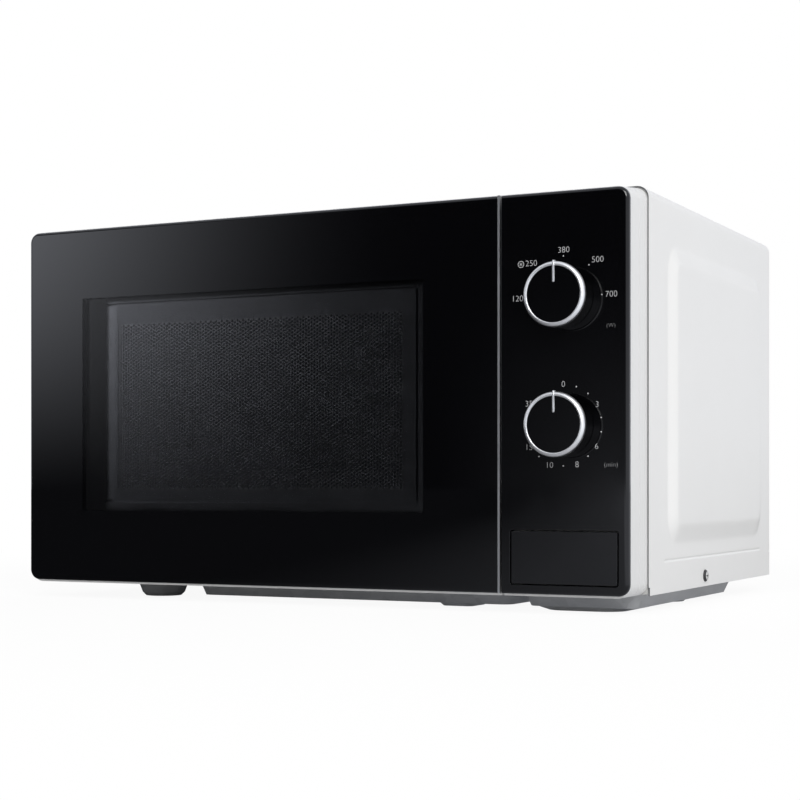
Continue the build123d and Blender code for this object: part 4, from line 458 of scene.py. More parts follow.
@dataclass(frozen=True)
class SheetMetal(Finish):
    """Bare sheet or drawn metal with rolling lines and small scratches."""

    colour: Colour
    roughness: float = 0.34
    metallic: float = 1.0
    line_axis: Axis = Axis.Y
    line_pitch: float = 0.5
    line_depth: float = 0.004
    line_stretch: float = 0.03
    line_change: float = 0.14
    cloud_size: float = 24.0
    cloud_change: float = 0.1
    tarnish: float = 0.12
    spangle_size: float = 0.0
    spangle_share: float = 0.5
    spangle_glint: float = 1.22
    spangle_change: float = 0.16

    def sockets(self, shader: Shader) -> dict[str, Any]:
        """The Principled shader's inputs.

        Args:
            shader: The material's node tree.

        Returns:
            The inputs, by name.
        """
        stretch = [1.0, 1.0, 1.0]
        stretch[self.line_axis.value] = self.line_stretch
        lines = shader.noise(self.line_pitch, detail=3.0, where=shader.placed(stretch=tuple(stretch)))
        cloud = shader.noise(self.cloud_size, detail=4.0)
        colour = shader.toned(cloud, self.colour, 1.0 - self.tarnish)
        roughness = shader.varied(self.roughness, self.line_change, lines)
        roughness = shader.varied(roughness, self.cloud_change, cloud)
        if self.spangle_size > 0.0:
            crystal = shader.split(shader.cells(self.spangle_size, "Color"))[0]
            glint = shade_of(self.colour, self.spangle_glint)
            colour = shader.mix(crystal * self.spangle_share, colour, glint)
            roughness = shader.varied(roughness, self.spangle_change, crystal)
        return {
            "Base Color": colour,
            "Metallic": self.metallic,
            "Roughness": roughness,
            "Normal": shader.bump(lines, self.line_depth),
        }


@dataclass(frozen=True)
class ScrewHead(Finish):
    """Plated screws: bright domes, and on the heads at the case's sides painted shade in the cross recess and
    round the rim where they turn down.
    """

    axis: Span
    side_x: float
    colour: Colour = (0.74, 0.74, 0.73)
    shadow: Colour = (0.035, 0.035, 0.036)
    rim: Span = (2.5, 3.1)
    slot: Span = (0.35, 0.75)
    slot_end: Span = (1.9, 2.4)
    cloud_size: float = 3.0
    tarnish: float = 0.1
    metallic: float = 0.25
    roughness: float = 0.32
    rough_change: float = 0.1

    def sockets(self, shader: Shader) -> dict[str, Any]:
        """The Principled shader's inputs.

        Args:
            shader: The material's node tree.

        Returns:
            The inputs, by name.
        """
        x, y, z = shader.split(shader.place)
        along = abs(y - MM * self.axis[0])
        up = abs(z - MM * self.axis[1])
        reach = (along * along + up * up) ** 0.5
        rim, slot, slot_end = [[MM * part for part in span] for span in (self.rim, self.slot, self.slot_end)]
        recess = (1.0 - along.at_most(up).eased(*slot)) * (1.0 - reach.eased(*slot_end))
        # painted shade: on the side screws the cross recess and the rim take the shadow colour
        dark = reach.eased(*rim).at_least(recess) * abs(x).above(MM * self.side_x)
        cloud = shader.noise(self.cloud_size, detail=4.0)
        plating = shader.toned(cloud, self.colour, 1.0 - self.tarnish)
        return {
            "Base Color": shader.mix(dark, plating, self.shadow),
            "Metallic": self.metallic,
            "Roughness": shader.varied(self.roughness, self.rough_change, cloud),
        }


@dataclass(frozen=True)
class TurnedMetal(Finish):
    """Satin metal with the fine rings that a lathe leaves about an axis along the depth."""

    centre: Span
    colour: Colour = (0.93, 0.93, 0.92)
    roughness: float = 0.36
    ring_pitch: float = 0.32
    ring_depth: float = 0.002
    ring_change: float = 0.07
    cloud_size: float = 6.0
    cloud_change: float = 0.06
    tarnish: float = 0.07
    edge_round: float = 0.3

    def sockets(self, shader: Shader) -> dict[str, Any]:
        """The Principled shader's inputs.

        Args:
            shader: The material's node tree.

        Returns:
            The inputs, by name.
        """
        flat = shader.placed((self.centre[0], 0.0, self.centre[1]), (1.0, 0.0, 1.0))
        rings = shader.ripple(shader.vector("LENGTH", flat, output="Value"), self.ring_pitch)
        cloud = shader.noise(self.cloud_size, detail=4.0)
        roughness = shader.varied(self.roughness, self.ring_change, rings)
        return {
            "Base Color": shader.toned(cloud, self.colour, 1.0 - self.tarnish),
            "Metallic": 1.0,
            "Roughness": shader.varied(roughness, self.cloud_change, cloud),
            "Normal": shader.bump(rings, self.ring_depth, self.edge_round),
        }


@dataclass(frozen=True)
class Layered(Finish):
    """Stacked or wound metal: even ridges along one direction, with their own sheen, and painted shade in the
    gaps between them.
    """

    colour: Colour
    gap_shade_colour: Colour
    axis: Axis
    pitch: float
    depth: float
    metallic: float = 1.0
    roughness: float = 0.4
    rough_change: float = 0.2
    sway: float = 0.2
    sway_size: float = 9.0
    cloud_size: float = 14.0
    tarnish: float = 0.2
    gap_edge: Span = (0.0, 0.45)

    def sockets(self, shader: Shader) -> dict[str, Any]:
        """The Principled shader's inputs.

        Args:
            shader: The material's node tree.

        Returns:
            The inputs, by name.
        """
        along = shader.split(shader.place)[self.axis.value]
        ridge = shader.ripple(along + self.sway * MM * shader.noise(self.sway_size), self.pitch)
        cloud = shader.noise(self.cloud_size, detail=4.0)
        lit = shader.toned(cloud, self.colour, 1.0 - self.tarnish)
        return {
            # painted shade: the gaps between the ridges fall to the gap shade colour
            "Base Color": shader.mix(ridge.eased(*self.gap_edge), self.gap_shade_colour, lit),
            "Metallic": self.metallic,
            "Roughness": shader.varied(self.roughness, self.rough_change, cloud),
            "Normal": shader.bump(ridge, self.depth),
        }


@dataclass(frozen=True)
class Rubber(Finish):
    """Moulded rubber: matt and dark, with a fine bloom on it."""

    colour: Colour = (0.032, 0.032, 0.033)
    roughness: float = 0.72
    rough_change: float = 0.2
    bloom_size: float = 5.0
    bloom_cover: Span = (0.4, 0.75)
    bloom_tone: float = 1.9
    grain_size: float = 0.5
    grain_depth: float = 0.02

    def sockets(self, shader: Shader) -> dict[str, Any]:
        """The Principled shader's inputs.

        Args:
            shader: The material's node tree.

        Returns:
            The inputs, by name.
        """
        bloom = shader.noise(self.bloom_size, detail=5.0)
        pale = shade_of(self.colour, self.bloom_tone)
        return {
            "Base Color": shader.mix(bloom.eased(*self.bloom_cover), self.colour, pale),
            "Roughness": shader.varied(self.roughness, self.rough_change, bloom),
            "Normal": shader.bump(shader.noise(self.grain_size), self.grain_depth),
        }


@dataclass(frozen=True)
class PrintedGlass(Finish):
    """Front glass printed black on its back, with a smoked window left in the print."""

    window_x: Span
    window_z: Span
    window_corner: float = 1.2
    edge_blur: float = 0.4
    colour: Colour = (0.0010, 0.0010, 0.0014)
    smoke: float = 0.3
    window_index: float = 1.7
    roughness: float = 0.02
    smear_size: float = 55.0
    smear_cover: Span = (0.45, 0.8)
    smear_change: float = 0.03
    dust_size: float = 6.0
    dust_edge: Span = (0.015, 0.04)
    dust_change: float = 0.1
    wave_size: float = 140.0
    wave_depth: float = 0.02

    def window(self, shader: Shader) -> Value:
        """Where the window is.

        Args:
            shader: The material's node tree.

        Returns:
            One inside the window and zero on the print.
        """
        x, _, z = shader.split(shader.place)
        corner = self.window_corner
        reach = []
        for along, span in ((x, self.window_x), (z, self.window_z)):
            half = (span[1] - span[0]) / 2 - corner
            reach.append((abs(along - MM * (span[0] + span[1]) / 2) - MM * half).at_least(0.0))
        distance = (reach[0] * reach[0] + reach[1] * reach[1]) ** 0.5 - MM * corner
        return 1.0 - distance.eased(-MM * self.edge_blur / 2, MM * self.edge_blur / 2)

    def surface(self, shader: Shader) -> Value:
        """The black print and, in the window, smoked glass.

        Args:
            shader: The material's node tree.

        Returns:
            The mixed shader.
        """
        smear = shader.noise(self.smear_size, detail=4.0).eased(*self.smear_cover)
        dust = 1.0 - shader.cells(self.dust_size).eased(*self.dust_edge)
        shared = {
            "Base Color": self.colour,
            "Roughness": self.roughness + self.smear_change * smear + self.dust_change * dust,
            "Normal": shader.bump(shader.noise(self.wave_size, detail=0.0), self.wave_depth),
        }
        printed = shader.principled(shared)
        smoked = shader.principled({**shared, "Alpha": self.smoke, "IOR": self.window_index})
        shader.see_through()
        return shader.node("ShaderNodeMixShader", None, {0: self.window(shader), 1: printed, 2: smoked})


@dataclass(frozen=True)
class ClearGlass(Finish):
    """Clear pressed glass or clear sheet, with the slow waves of its pressing."""

    colour: Colour = (0.97, 0.985, 0.98)
    roughness: float = 0.02
    index: float = 1.5
    wave_size: float = 26.0
    wave_depth: float = 0.04
    smear_size: float = 30.0
    smear_cover: Span = (0.5, 0.8)
    smear_tone: float = 0.97
    smear_change: float = 0.05

    def sockets(self, shader: Shader) -> dict[str, Any]:
        """The Principled shader's inputs.

        Args:
            shader: The material's node tree.

        Returns:
            The inputs, by name.
        """
        smear = shader.noise(self.smear_size, detail=4.0).eased(*self.smear_cover)
        wave = shader.noise(self.wave_size, detail=1.0)
        return {
            "Base Color": shader.mix(smear, self.colour, shade_of(self.colour, self.smear_tone)),
            "Roughness": self.roughness + self.smear_change * smear,
            "Normal": shader.bump(wave, self.wave_depth),
            "Transmission Weight": 1.0,
            "IOR": self.index,
        }


@dataclass(frozen=True)
class ClearFilm(Finish):
    """A thin clear plastic sheet, seen mostly by its gloss."""

    colour: Colour = (0.2, 0.205, 0.205)
    opacity: float = 0.08
    gloss: float = 0.4
    roughness: float = 0.05
    smear_size: float = 40.0
    smear_cover: Span = (0.45, 0.8)
    smear_opacity: float = 0.06
    smear_change: float = 0.08
    scuff_size: float = 0.8
    scuff_stretch: Point = (0.05, 1.0, 1.0)
    scuff_depth: float = 0.002

    def sockets(self, shader: Shader) -> dict[str, Any]:
        """The Principled shader's inputs.

        Args:
            shader: The material's node tree.

        Returns:
            The inputs, by name.
        """
        smear = shader.noise(self.smear_size, detail=4.0).eased(*self.smear_cover)
        scuff = shader.noise(self.scuff_size, where=shader.placed(stretch=self.scuff_stretch))
        shader.see_through()
        return {
            "Base Color": self.colour,
            "Alpha": self.opacity + self.smear_opacity * smear,
            "Roughness": self.roughness + self.smear_change * smear,
            "Normal": shader.bump(scuff, self.scuff_depth),
            "Specular IOR Level": self.gloss,
        }


@dataclass(frozen=True)
class Mica(Finish):
    """A pressed mica sheet: pale flakes in layers, silky where they overlap."""

    colour: Colour = (0.56, 0.49, 0.38)
    roughness: float = 0.3
    flake_change: float = 0.3
    flake_size: float = 3.2
    layer_size: float = 9.0
    darkest: float = 0.72
    relief: float = 0.03

    def sockets(self, shader: Shader) -> dict[str, Any]:
        """The Principled shader's inputs.

        Args:
            shader: The material's node tree.

        Returns:
            The inputs, by name.
        """
        flake = shader.split(shader.cells(self.flake_size, "Color"))[0]
        layer = shader.noise(self.layer_size, detail=5.0)
        return {
            "Base Color": shader.toned(0.5 * flake + 0.5 * layer, self.colour, self.darkest),
            "Roughness": self.roughness + self.flake_change * flake,
            "Normal": shader.bump(flake + layer, self.relief),
        }


@dataclass(frozen=True)
class CircuitBoard(Finish):
    """A small board: green lacquer over copper tracks, with darker parts standing on its front."""

    board_front: float
    front_blur: Span = (0.5, 0.1)
    pitch: float = 5.0
    track_share: float = 0.45
    track_depth: float = 0.04
    lacquer: Colour = (0.015, 0.11, 0.045)
    track: Colour = (0.05, 0.22, 0.07)
    parts: Colour = (0.3, 0.2, 0.05)
    parts_darkest: float = 0.7
    tone_size: float = 8.0
    roughness: float = 0.3
    rough_change: float = 0.2

    def sockets(self, shader: Shader) -> dict[str, Any]:
        """The Principled shader's inputs.

        Args:
            shader: The material's node tree.

        Returns:
            The inputs, by name.
        """
        y = shader.split(shader.place)[1]
        track = shader.split(shader.cells(self.pitch, "Color"))[1].above(self.track_share)
        standing = 1.0 - y.eased(*(MM * (self.board_front - before) for before in self.front_blur))
        board = shader.mix(track, self.lacquer, self.track)
        tone = shader.noise(self.tone_size, detail=3.0)
        lit = shader.toned(tone, self.parts, self.parts_darkest)
        return {
            "Base Color": shader.mix(standing, board, lit),
            "Roughness": self.roughness + self.rough_change * tone,
            "Normal": shader.bump(track, self.track_depth),
        }


@dataclass(frozen=True)
class PrintedInk(Finish):
    """Screen-printed ink: pale grey, a little uneven in cover."""

    colour: Colour = (0.5, 0.5, 0.51)
    darkest: float = 0.88
    cover_size: float = 0.6
    roughness: float = 0.45
    rough_change: float = 0.15

    def sockets(self, shader: Shader) -> dict[str, Any]:
        """The Principled shader's inputs.

        Args:
            shader: The material's node tree.

        Returns:
            The inputs, by name.
        """
        cover = shader.noise(self.cover_size, detail=3.0)
        return {
            "Base Color": shader.toned(cover, self.colour, self.darkest),
            "Roughness": self.roughness + self.rough_change * cover,
        }


DIAL_X = 179.2
POWER_Z = 190.9
TIMER_Z = 114.1
WINDOW_X = (-174.4, 86.0)
WINDOW_Z = (60.9, 206.5)

CASE_PAINT = BakedPaint("case_white_paint", (0.79, 0.79, 0.785))
OVEN_ENAMEL = BakedPaint(
    "oven_grey_enamel", (0.42, 0.42, 0.41), roughness=0.28, peel_size=2.4, speck_share=0.12,
    speck_colour=(0.2, 0.2, 0.2),
)
SCREEN_STEEL = BakedPaint(
    "screen_satin_steel", (0.27, 0.273, 0.282), roughness=0.2, peel_size=0.9, metallic=1.0
)
# A lighter copy of the screen steel for the perforated web: painted sheen standing for the glints at the hole
# edges.
WEB_STEEL_SHEEN = BakedPaint(
    "screen_web_steel", (0.38, 0.384, 0.395), roughness=0.2, peel_size=0.9, metallic=1.0
)
# A lighter copy of the same pressed sheet for the dish walls, flange and rim: painted light that brightens
# the band round the dish.
FLANGE_STEEL_LIT = BakedPaint(
    "screen_flange_steel", (0.46, 0.464, 0.475), roughness=0.27, peel_size=0.9, metallic=1.0
)
# Dark steel on the rims of the case sheet: partly the raw sheared edge, partly painted shade for the shadow
# line of the seam at the case's front.
SHADED_CUT_EDGE = SheetMetal("case_cut_edge", (0.34, 0.34, 0.34), roughness=0.4, line_pitch=0.3)
WHITE_MOULDING = MouldedPlastic("white_moulding_grain", (0.75, 0.75, 0.75), roughness=0.4)
CHOKE_PLASTIC = MouldedPlastic("choke_ring_plastic", (0.1, 0.1, 0.102), roughness=0.45)
NATURAL_PLASTIC = MouldedPlastic("natural_nylon", (0.62, 0.6, 0.54), roughness=0.5, tone_change=0.1)
DARK_PLASTIC = MouldedPlastic("dark_switch_plastic", (0.035, 0.036, 0.04), roughness=0.5)
PANEL_GLOSS = BlackGloss("panel_black_gloss")
BUTTON_GLOSS = BlackGloss("button_black_gloss", colour=(0.0035, 0.0036, 0.0044), roughness=0.1)
KNOB_GLOSS = BlackGloss("knob_black_gloss", roughness=0.1)
POWER_RING_METAL = TurnedMetal("power_ring_silver", (DIAL_X, POWER_Z))
TIMER_RING_METAL = TurnedMetal("timer_ring_silver", (DIAL_X, TIMER_Z))
TRIM_METAL = SheetMetal("door_edge_silver", (0.7, 0.7, 0.7), roughness=0.3, line_axis=Axis.Z, tarnish=0.06)
ZINC_SHEET = SheetMetal("zinc_spangle", (0.45, 0.455, 0.46), roughness=0.42, spangle_size=7.0, metallic=0.4)
SCREW_STEEL = ScrewHead("plated_screw", (-3.1, 18.2), 215.0)
BRIGHT_STEEL = SheetMetal("bright_plated_steel", (0.62, 0.62, 0.61), roughness=0.26, line_axis=Axis.Z)
BARE_ALUMINIUM = SheetMetal("drawn_aluminium", (0.72, 0.73, 0.74), roughness=0.3, line_axis=Axis.Z)
COPPER = Layered("copper_fins", (0.72, 0.33, 0.18), (0.12, 0.05, 0.03), Axis.X, 2.4, 0.12, roughness=0.3)
WINDING = Layered(
    "lacquered_winding", (0.62, 0.24, 0.1), (0.05, 0.015, 0.01), Axis.Z, 0.9, 0.12, roughness=0.32
)
CORE_IRON = Layered("stacked_iron", (0.26, 0.26, 0.27), (0.03, 0.03, 0.03), Axis.Y, 0.8, 0.05, roughness=0.5)
DARK_RUBBER = Rubber("gland_rubber")
FOOT_MOULDING = MouldedPlastic("foot_grey_moulding", (0.38, 0.384, 0.39), roughness=0.42)
DOOR_GLASS = PrintedGlass("door_printed_glass", WINDOW_X, WINDOW_Z)
TRAY_GLASS = ClearGlass("pressed_tray_glass")
BULB_GLASS = ClearGlass("bulb_glass", wave_size=8.0, wave_depth=0.01)
CLEAR_SHEET = ClearFilm("inner_window_film")
MICA_SHEET = Mica("mica_flakes")
SCALE_INK = PrintedInk("scale_grey_ink")
UNIT_INK = PrintedInk("unit_dim_ink", (0.27, 0.27, 0.275))


# Meshes


def new_object(name: str, mesh: Mesh) -> Piece:
    """Put a mesh in the scene.

    Args:
        name: The object's name.
        mesh: Its mesh, or its curve.

    Returns:
        The object.
    """
    made = bpy.data.objects.new(name, mesh)
    bpy.context.scene.collection.objects.link(made)
    return made


def new_mesh(name: str, points: Sequence[Point], faces: Sequence[Sequence[int]]) -> Mesh:
    """Make a mesh.

    Args:
        name: The mesh's name.
        points: Its points in millimetres.
        faces: The corners of each face.

    Returns:
        The mesh.
    """
    mesh = bpy.data.meshes.new(name)
    metres = [tuple(MM * part for part in point) for point in points]
    mesh.from_pydata(metres, [], [list(face) for face in faces])
    mesh.validate()
    mesh.update()
    return mesh


@contextmanager
def editing(mesh: Mesh) -> Iterator[bmesh.types.BMesh]:
    """Open a mesh for editing, and write it back at the end.

    Args:
        mesh: The mesh.

    Yields:
        Its form for editing.
    """
    work = bmesh.new()
    work.from_mesh(mesh)
    yield work
    work.to_mesh(mesh)
    work.free()


def smooth_by_angle(mesh: Mesh, degrees: float) -> None:
    """Shade a mesh smooth, with sharp edges where its faces turn.

    Args:
        mesh: The mesh.
        degrees: The angle past which an edge is sharp.
    """
    limit = math.radians(degrees)
    with editing(mesh) as work:
        for face in work.faces:
            face.smooth = True
        for edge in work.edges:
            edge.smooth = len(edge.link_faces) == 2 and edge.calc_face_angle(0.0) < limit


def settled(piece: Piece, sharp: float | None = 35.0) -> Piece:
    """Turn a piece's modifiers into a plain mesh.

    Args:
        piece: The object with its modifiers.
        sharp: The angle in degrees past which an edge stays sharp, or None to leave the shading.

    Returns:
        The same object, with the finished mesh and no modifiers.
    """
    bpy.context.view_layer.update()
    evaluated = piece.evaluated_get(bpy.context.evaluated_depsgraph_get())
    mesh = bpy.data.meshes.new_from_object(evaluated)
    piece.modifiers.clear()
    piece.data = mesh
    mesh.name = piece.name
    if sharp is not None:
        smooth_by_angle(mesh, sharp)
    return piece


def add_modifier(piece: Piece, kind: str, **settings: Any) -> bpy.types.Modifier:
    """Add a modifier.

    Args:
        piece: The object.
        kind: The modifier's type.
        settings: Its properties.

    Returns:
        The modifier.
    """
    made = piece.modifiers.new(kind.lower(), kind)
    for name, value in settings.items():
        setattr(made, name, value)
    return made


def samples(*spans: tuple[float, float, int]) -> np.ndarray:
    """Places along a line: each span is divided evenly into a number of steps."""
    parts = [np.linspace(start, end, steps + 1) for start, end, steps in spans]
    return np.unique(np.concatenate(parts).round(4))


def inset(span: Span, by: float) -> Span:
    """A span made shorter at both ends."""
    return (span[0] + by, span[1] - by)


def boxes_mesh(name: str, boxes: Sequence[tuple[Span, Span, Span]]) -> Mesh:
    """A mesh of plain boxes, for cutting.

    Args:
        name: The mesh's name.
        boxes: The spans of each box along x, y and z.

    Returns:
        The mesh.
    """
    quads = [(0, 1, 3, 2), (4, 6, 7, 5), (0, 4, 5, 1), (2, 3, 7, 6), (0, 2, 6, 4), (1, 5, 7, 3)]
    points = []
    faces = []
    for x, y, z in boxes:
        start = len(points)
        points += [(x[i], y[j], z[k]) for i in (0, 1) for j in (0, 1) for k in (0, 1)]
        faces += [tuple(start + index for index in quad) for quad in quads]
    return new_mesh(name, points, faces)


def lathe_mesh(name: str, profile: Sequence[tuple[float, float]], steps: int) -> Mesh:
    """A closed mesh turned about Z.

    Args:
        name: The mesh's name.
        profile: Radius and height of each point, from pole to pole, or round a ring and back to its start.
        steps: The number of divisions round the axis.

    Returns:
        The mesh, with its faces outwards.
    """
    mesh = bpy.data.meshes.new(name)
    with editing(mesh) as work:
        rings = []
        for radius, height in profile:
            ring = []
            for step in range(steps if radius > 0.0 else 1):
                angle = 2.0 * math.pi * step / steps
                place = (radius * MM * math.cos(angle), radius * MM * math.sin(angle), height * MM)
                ring.append(work.verts.new(place))
            rings.append(ring)
        for upper, lower in zip(rings, rings[1:]):
            for step in range(steps):
                after = (step + 1) % steps
                loop = [(upper, step), (lower, step), (lower, after), (upper, after)]
                corners = [ring[place % len(ring)] for ring, place in loop]
                work.faces.new(list(dict.fromkeys(corners)))
        bmesh.ops.remove_doubles(work, verts=work.verts, dist=WELD)
        bmesh.ops.recalc_face_normals(work, faces=work.faces)
    return mesh


def outward(mesh: Mesh) -> Mesh:
    """Turn the faces of a closed mesh outwards.

    Args:
        mesh: The mesh.

    Returns:
        The same mesh.
    """
    with editing(mesh) as work:
        bmesh.ops.recalc_face_normals(work, faces=work.faces)
    return mesh


def joined(name: str, meshes: Sequence[Mesh]) -> Piece:
    """Make one object from several meshes.

    Args:
        name: The object's name.
        meshes: The meshes, which are used up.

    Returns:
        The object.
    """
    whole = bpy.data.meshes.new(name)
    with editing(whole) as work:
        for mesh in meshes:
            work.from_mesh(mesh)
            bpy.data.meshes.remove(mesh)
        bmesh.ops.remove_doubles(work, verts=work.verts, dist=WELD)
    return new_object(name, whole)


# Geometry Nodes


class GeometryTree(Graph):
    """A Geometry Nodes tree with named inputs, put on an object and turned into a plain mesh."""

    def __init__(self, name: str) -> None:
        """Start an empty tree that takes and gives a geometry.

        Args:
            name: The tree's name.
        """
        tree = bpy.data.node_groups.new(name, "GeometryNodeTree")
        super().__init__(tree)
        tree.interface.new_socket("Geometry", in_out="INPUT", socket_type="NodeSocketGeometry")
        tree.interface.new_socket("Geometry", in_out="OUTPUT", socket_type="NodeSocketGeometry")
        self.own = self.node("NodeGroupInput")
        self.values: dict[str, Any] = {}

    def take(self, name: str, value: Any) -> Value:
        """Add a named input with the value that the modifier gives it.

        Args:
            name: The input's name.
            value: A number, a whole number, an object or a material.

        Returns:
            The input as a value in the tree.
        """
        kinds = {float: "Float", int: "Int", Piece: "Object", bpy.types.Material: "Material"}
        kind = next(word for known, word in kinds.items() if isinstance(value, known))
        socket = self.tree.interface.new_socket(name, in_out="INPUT", socket_type=f"NodeSocket{kind}")
        self.values[socket.identifier] = value
        return Value(self, self.node("NodeGroupInput").socket.node.outputs[name])

    def give(self, shape: Value, finish: Finish) -> None:
        """End the tree with real meshes in one finish.

        Args:
            shape: The geometry.
            finish: Its finish.
        """
        material = self.take("Finish", finish.material())
        real = self.node("GeometryNodeRealizeInstances", None, {0: shape})
        coated = self.node("GeometryNodeSetMaterial", None, {"Geometry": real, "Material": material})
        self.node("NodeGroupOutput", None, {0: coated})

    def on_points(self, points: Value, instance: Value, **more: Value) -> Value:
        """An instance of a geometry on every point."""
        sockets = {"Points": points, "Instance": instance, **more}
        return self.node("GeometryNodeInstanceOnPoints", None, sockets)

    def moved(self, shape: Value, by: Any = (0.0, 0.0, 0.0), turn: Point = (0.0, 0.0, 0.0)) -> Value:
        """A geometry turned, in radians, and then moved."""
        sockets = {"Geometry": shape, "Translation": by, "Rotation": turn}
        return self.node("GeometryNodeTransform", None, sockets)

    def together(self, *shapes: Value) -> Value:
        """Join geometries.

        Args:
            shapes: The geometries.

        Returns:
            All of them as one.
        """
        whole = self.node("GeometryNodeJoinGeometry")
        for shape in shapes:
            self.tree.links.new(shape.socket, whole.socket.node.inputs[0])
        return whole

    def run(self, piece: Piece, sharp: float | None = 35.0) -> Piece:
        """Evaluate the tree on an object and keep the result as its plain mesh.

        Args:
            piece: The object.
            sharp: The angle past which an edge stays sharp, or None to leave the shading.

        Returns:
            The piece.
        """
        modifier = piece.modifiers.new(self.tree.name, "NODES")
        modifier.node_group = self.tree
        for identifier, value in self.values.items():
            modifier[identifier] = value
        return settled(piece, sharp)


def dressed(piece: Piece, *finishes: Finish) -> Piece:
    """Give a piece its finishes.

    Args:
        piece: The piece.
        finishes: One finish for each material slot of its faces.

    Returns:
        The piece.
    """
    piece.data.materials.clear()
    for finish in finishes:
        piece.data.materials.append(finish.material())
    return piece


def ride_as(piece: Piece, body: Body, slot: str, *nodes: str) -> Piece:
    """Let a dressed piece ride on a body and stand for CAD nodes.

    Args:
        piece: The finished piece.
        body: The CAD body that carries it.
        slot: The record's material slot. Not used.
        nodes: The CAD nodes that it stands for.

    Returns:
        The piece.
    """
    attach(piece, body.value)
    if nodes:
        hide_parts(*nodes)
    LOG.info("piece %s rides on %s", piece.name, body.value)
    return piece


def worn(finishes: Mapping[Finish, str]) -> Any:
    """A field that holds the finish of each CAD node.

    Args:
        finishes: Each finish with the names of its nodes, divided by spaces.

    Returns:
        The field of the dataclass.
    """
    by_node = {node: finish for finish, nodes in finishes.items() for node in nodes.split()}
    return field(default_factory=lambda: dict(by_node))


@dataclass
class SubAssembly:
    """Pieces that belong together: CAD nodes with their finishes, and new pieces."""

    finishes: dict[str, Finish] = field(default_factory=dict)

    def build(self) -> None:
        """Make the new pieces. A sub-assembly of CAD nodes alone has none."""

    def dress(self) -> None:
        """Give every CAD node its finish."""
        for name, finish in self.finishes.items():
            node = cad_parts[name]
            node.data.materials.clear()
            node.data.materials.append(finish.material())
            LOG.info("node %s has finish %s", name, finish.name)


def eased_ramp(distance: np.ndarray, slope: float, ease: float) -> np.ndarray:
    """A rise from 0 to 1, rounded at its foot and at its crest.

    Args:
        distance: The places along the rise.
        slope: The length of the rise.
        ease: The length of each rounding.

    Returns:
        The height at each place.
    """
    steep = 1.0 / (slope - ease)
    inside = np.clip(distance, 0.0, slope)
    foot = steep * inside**2 / (2.0 * ease)
    middle = steep * (inside - ease / 2.0)
    crest = 1.0 - steep * (slope - inside) ** 2 / (2.0 * ease)
    return np.where(inside < ease, foot, np.where(inside < slope - ease, middle, crest))


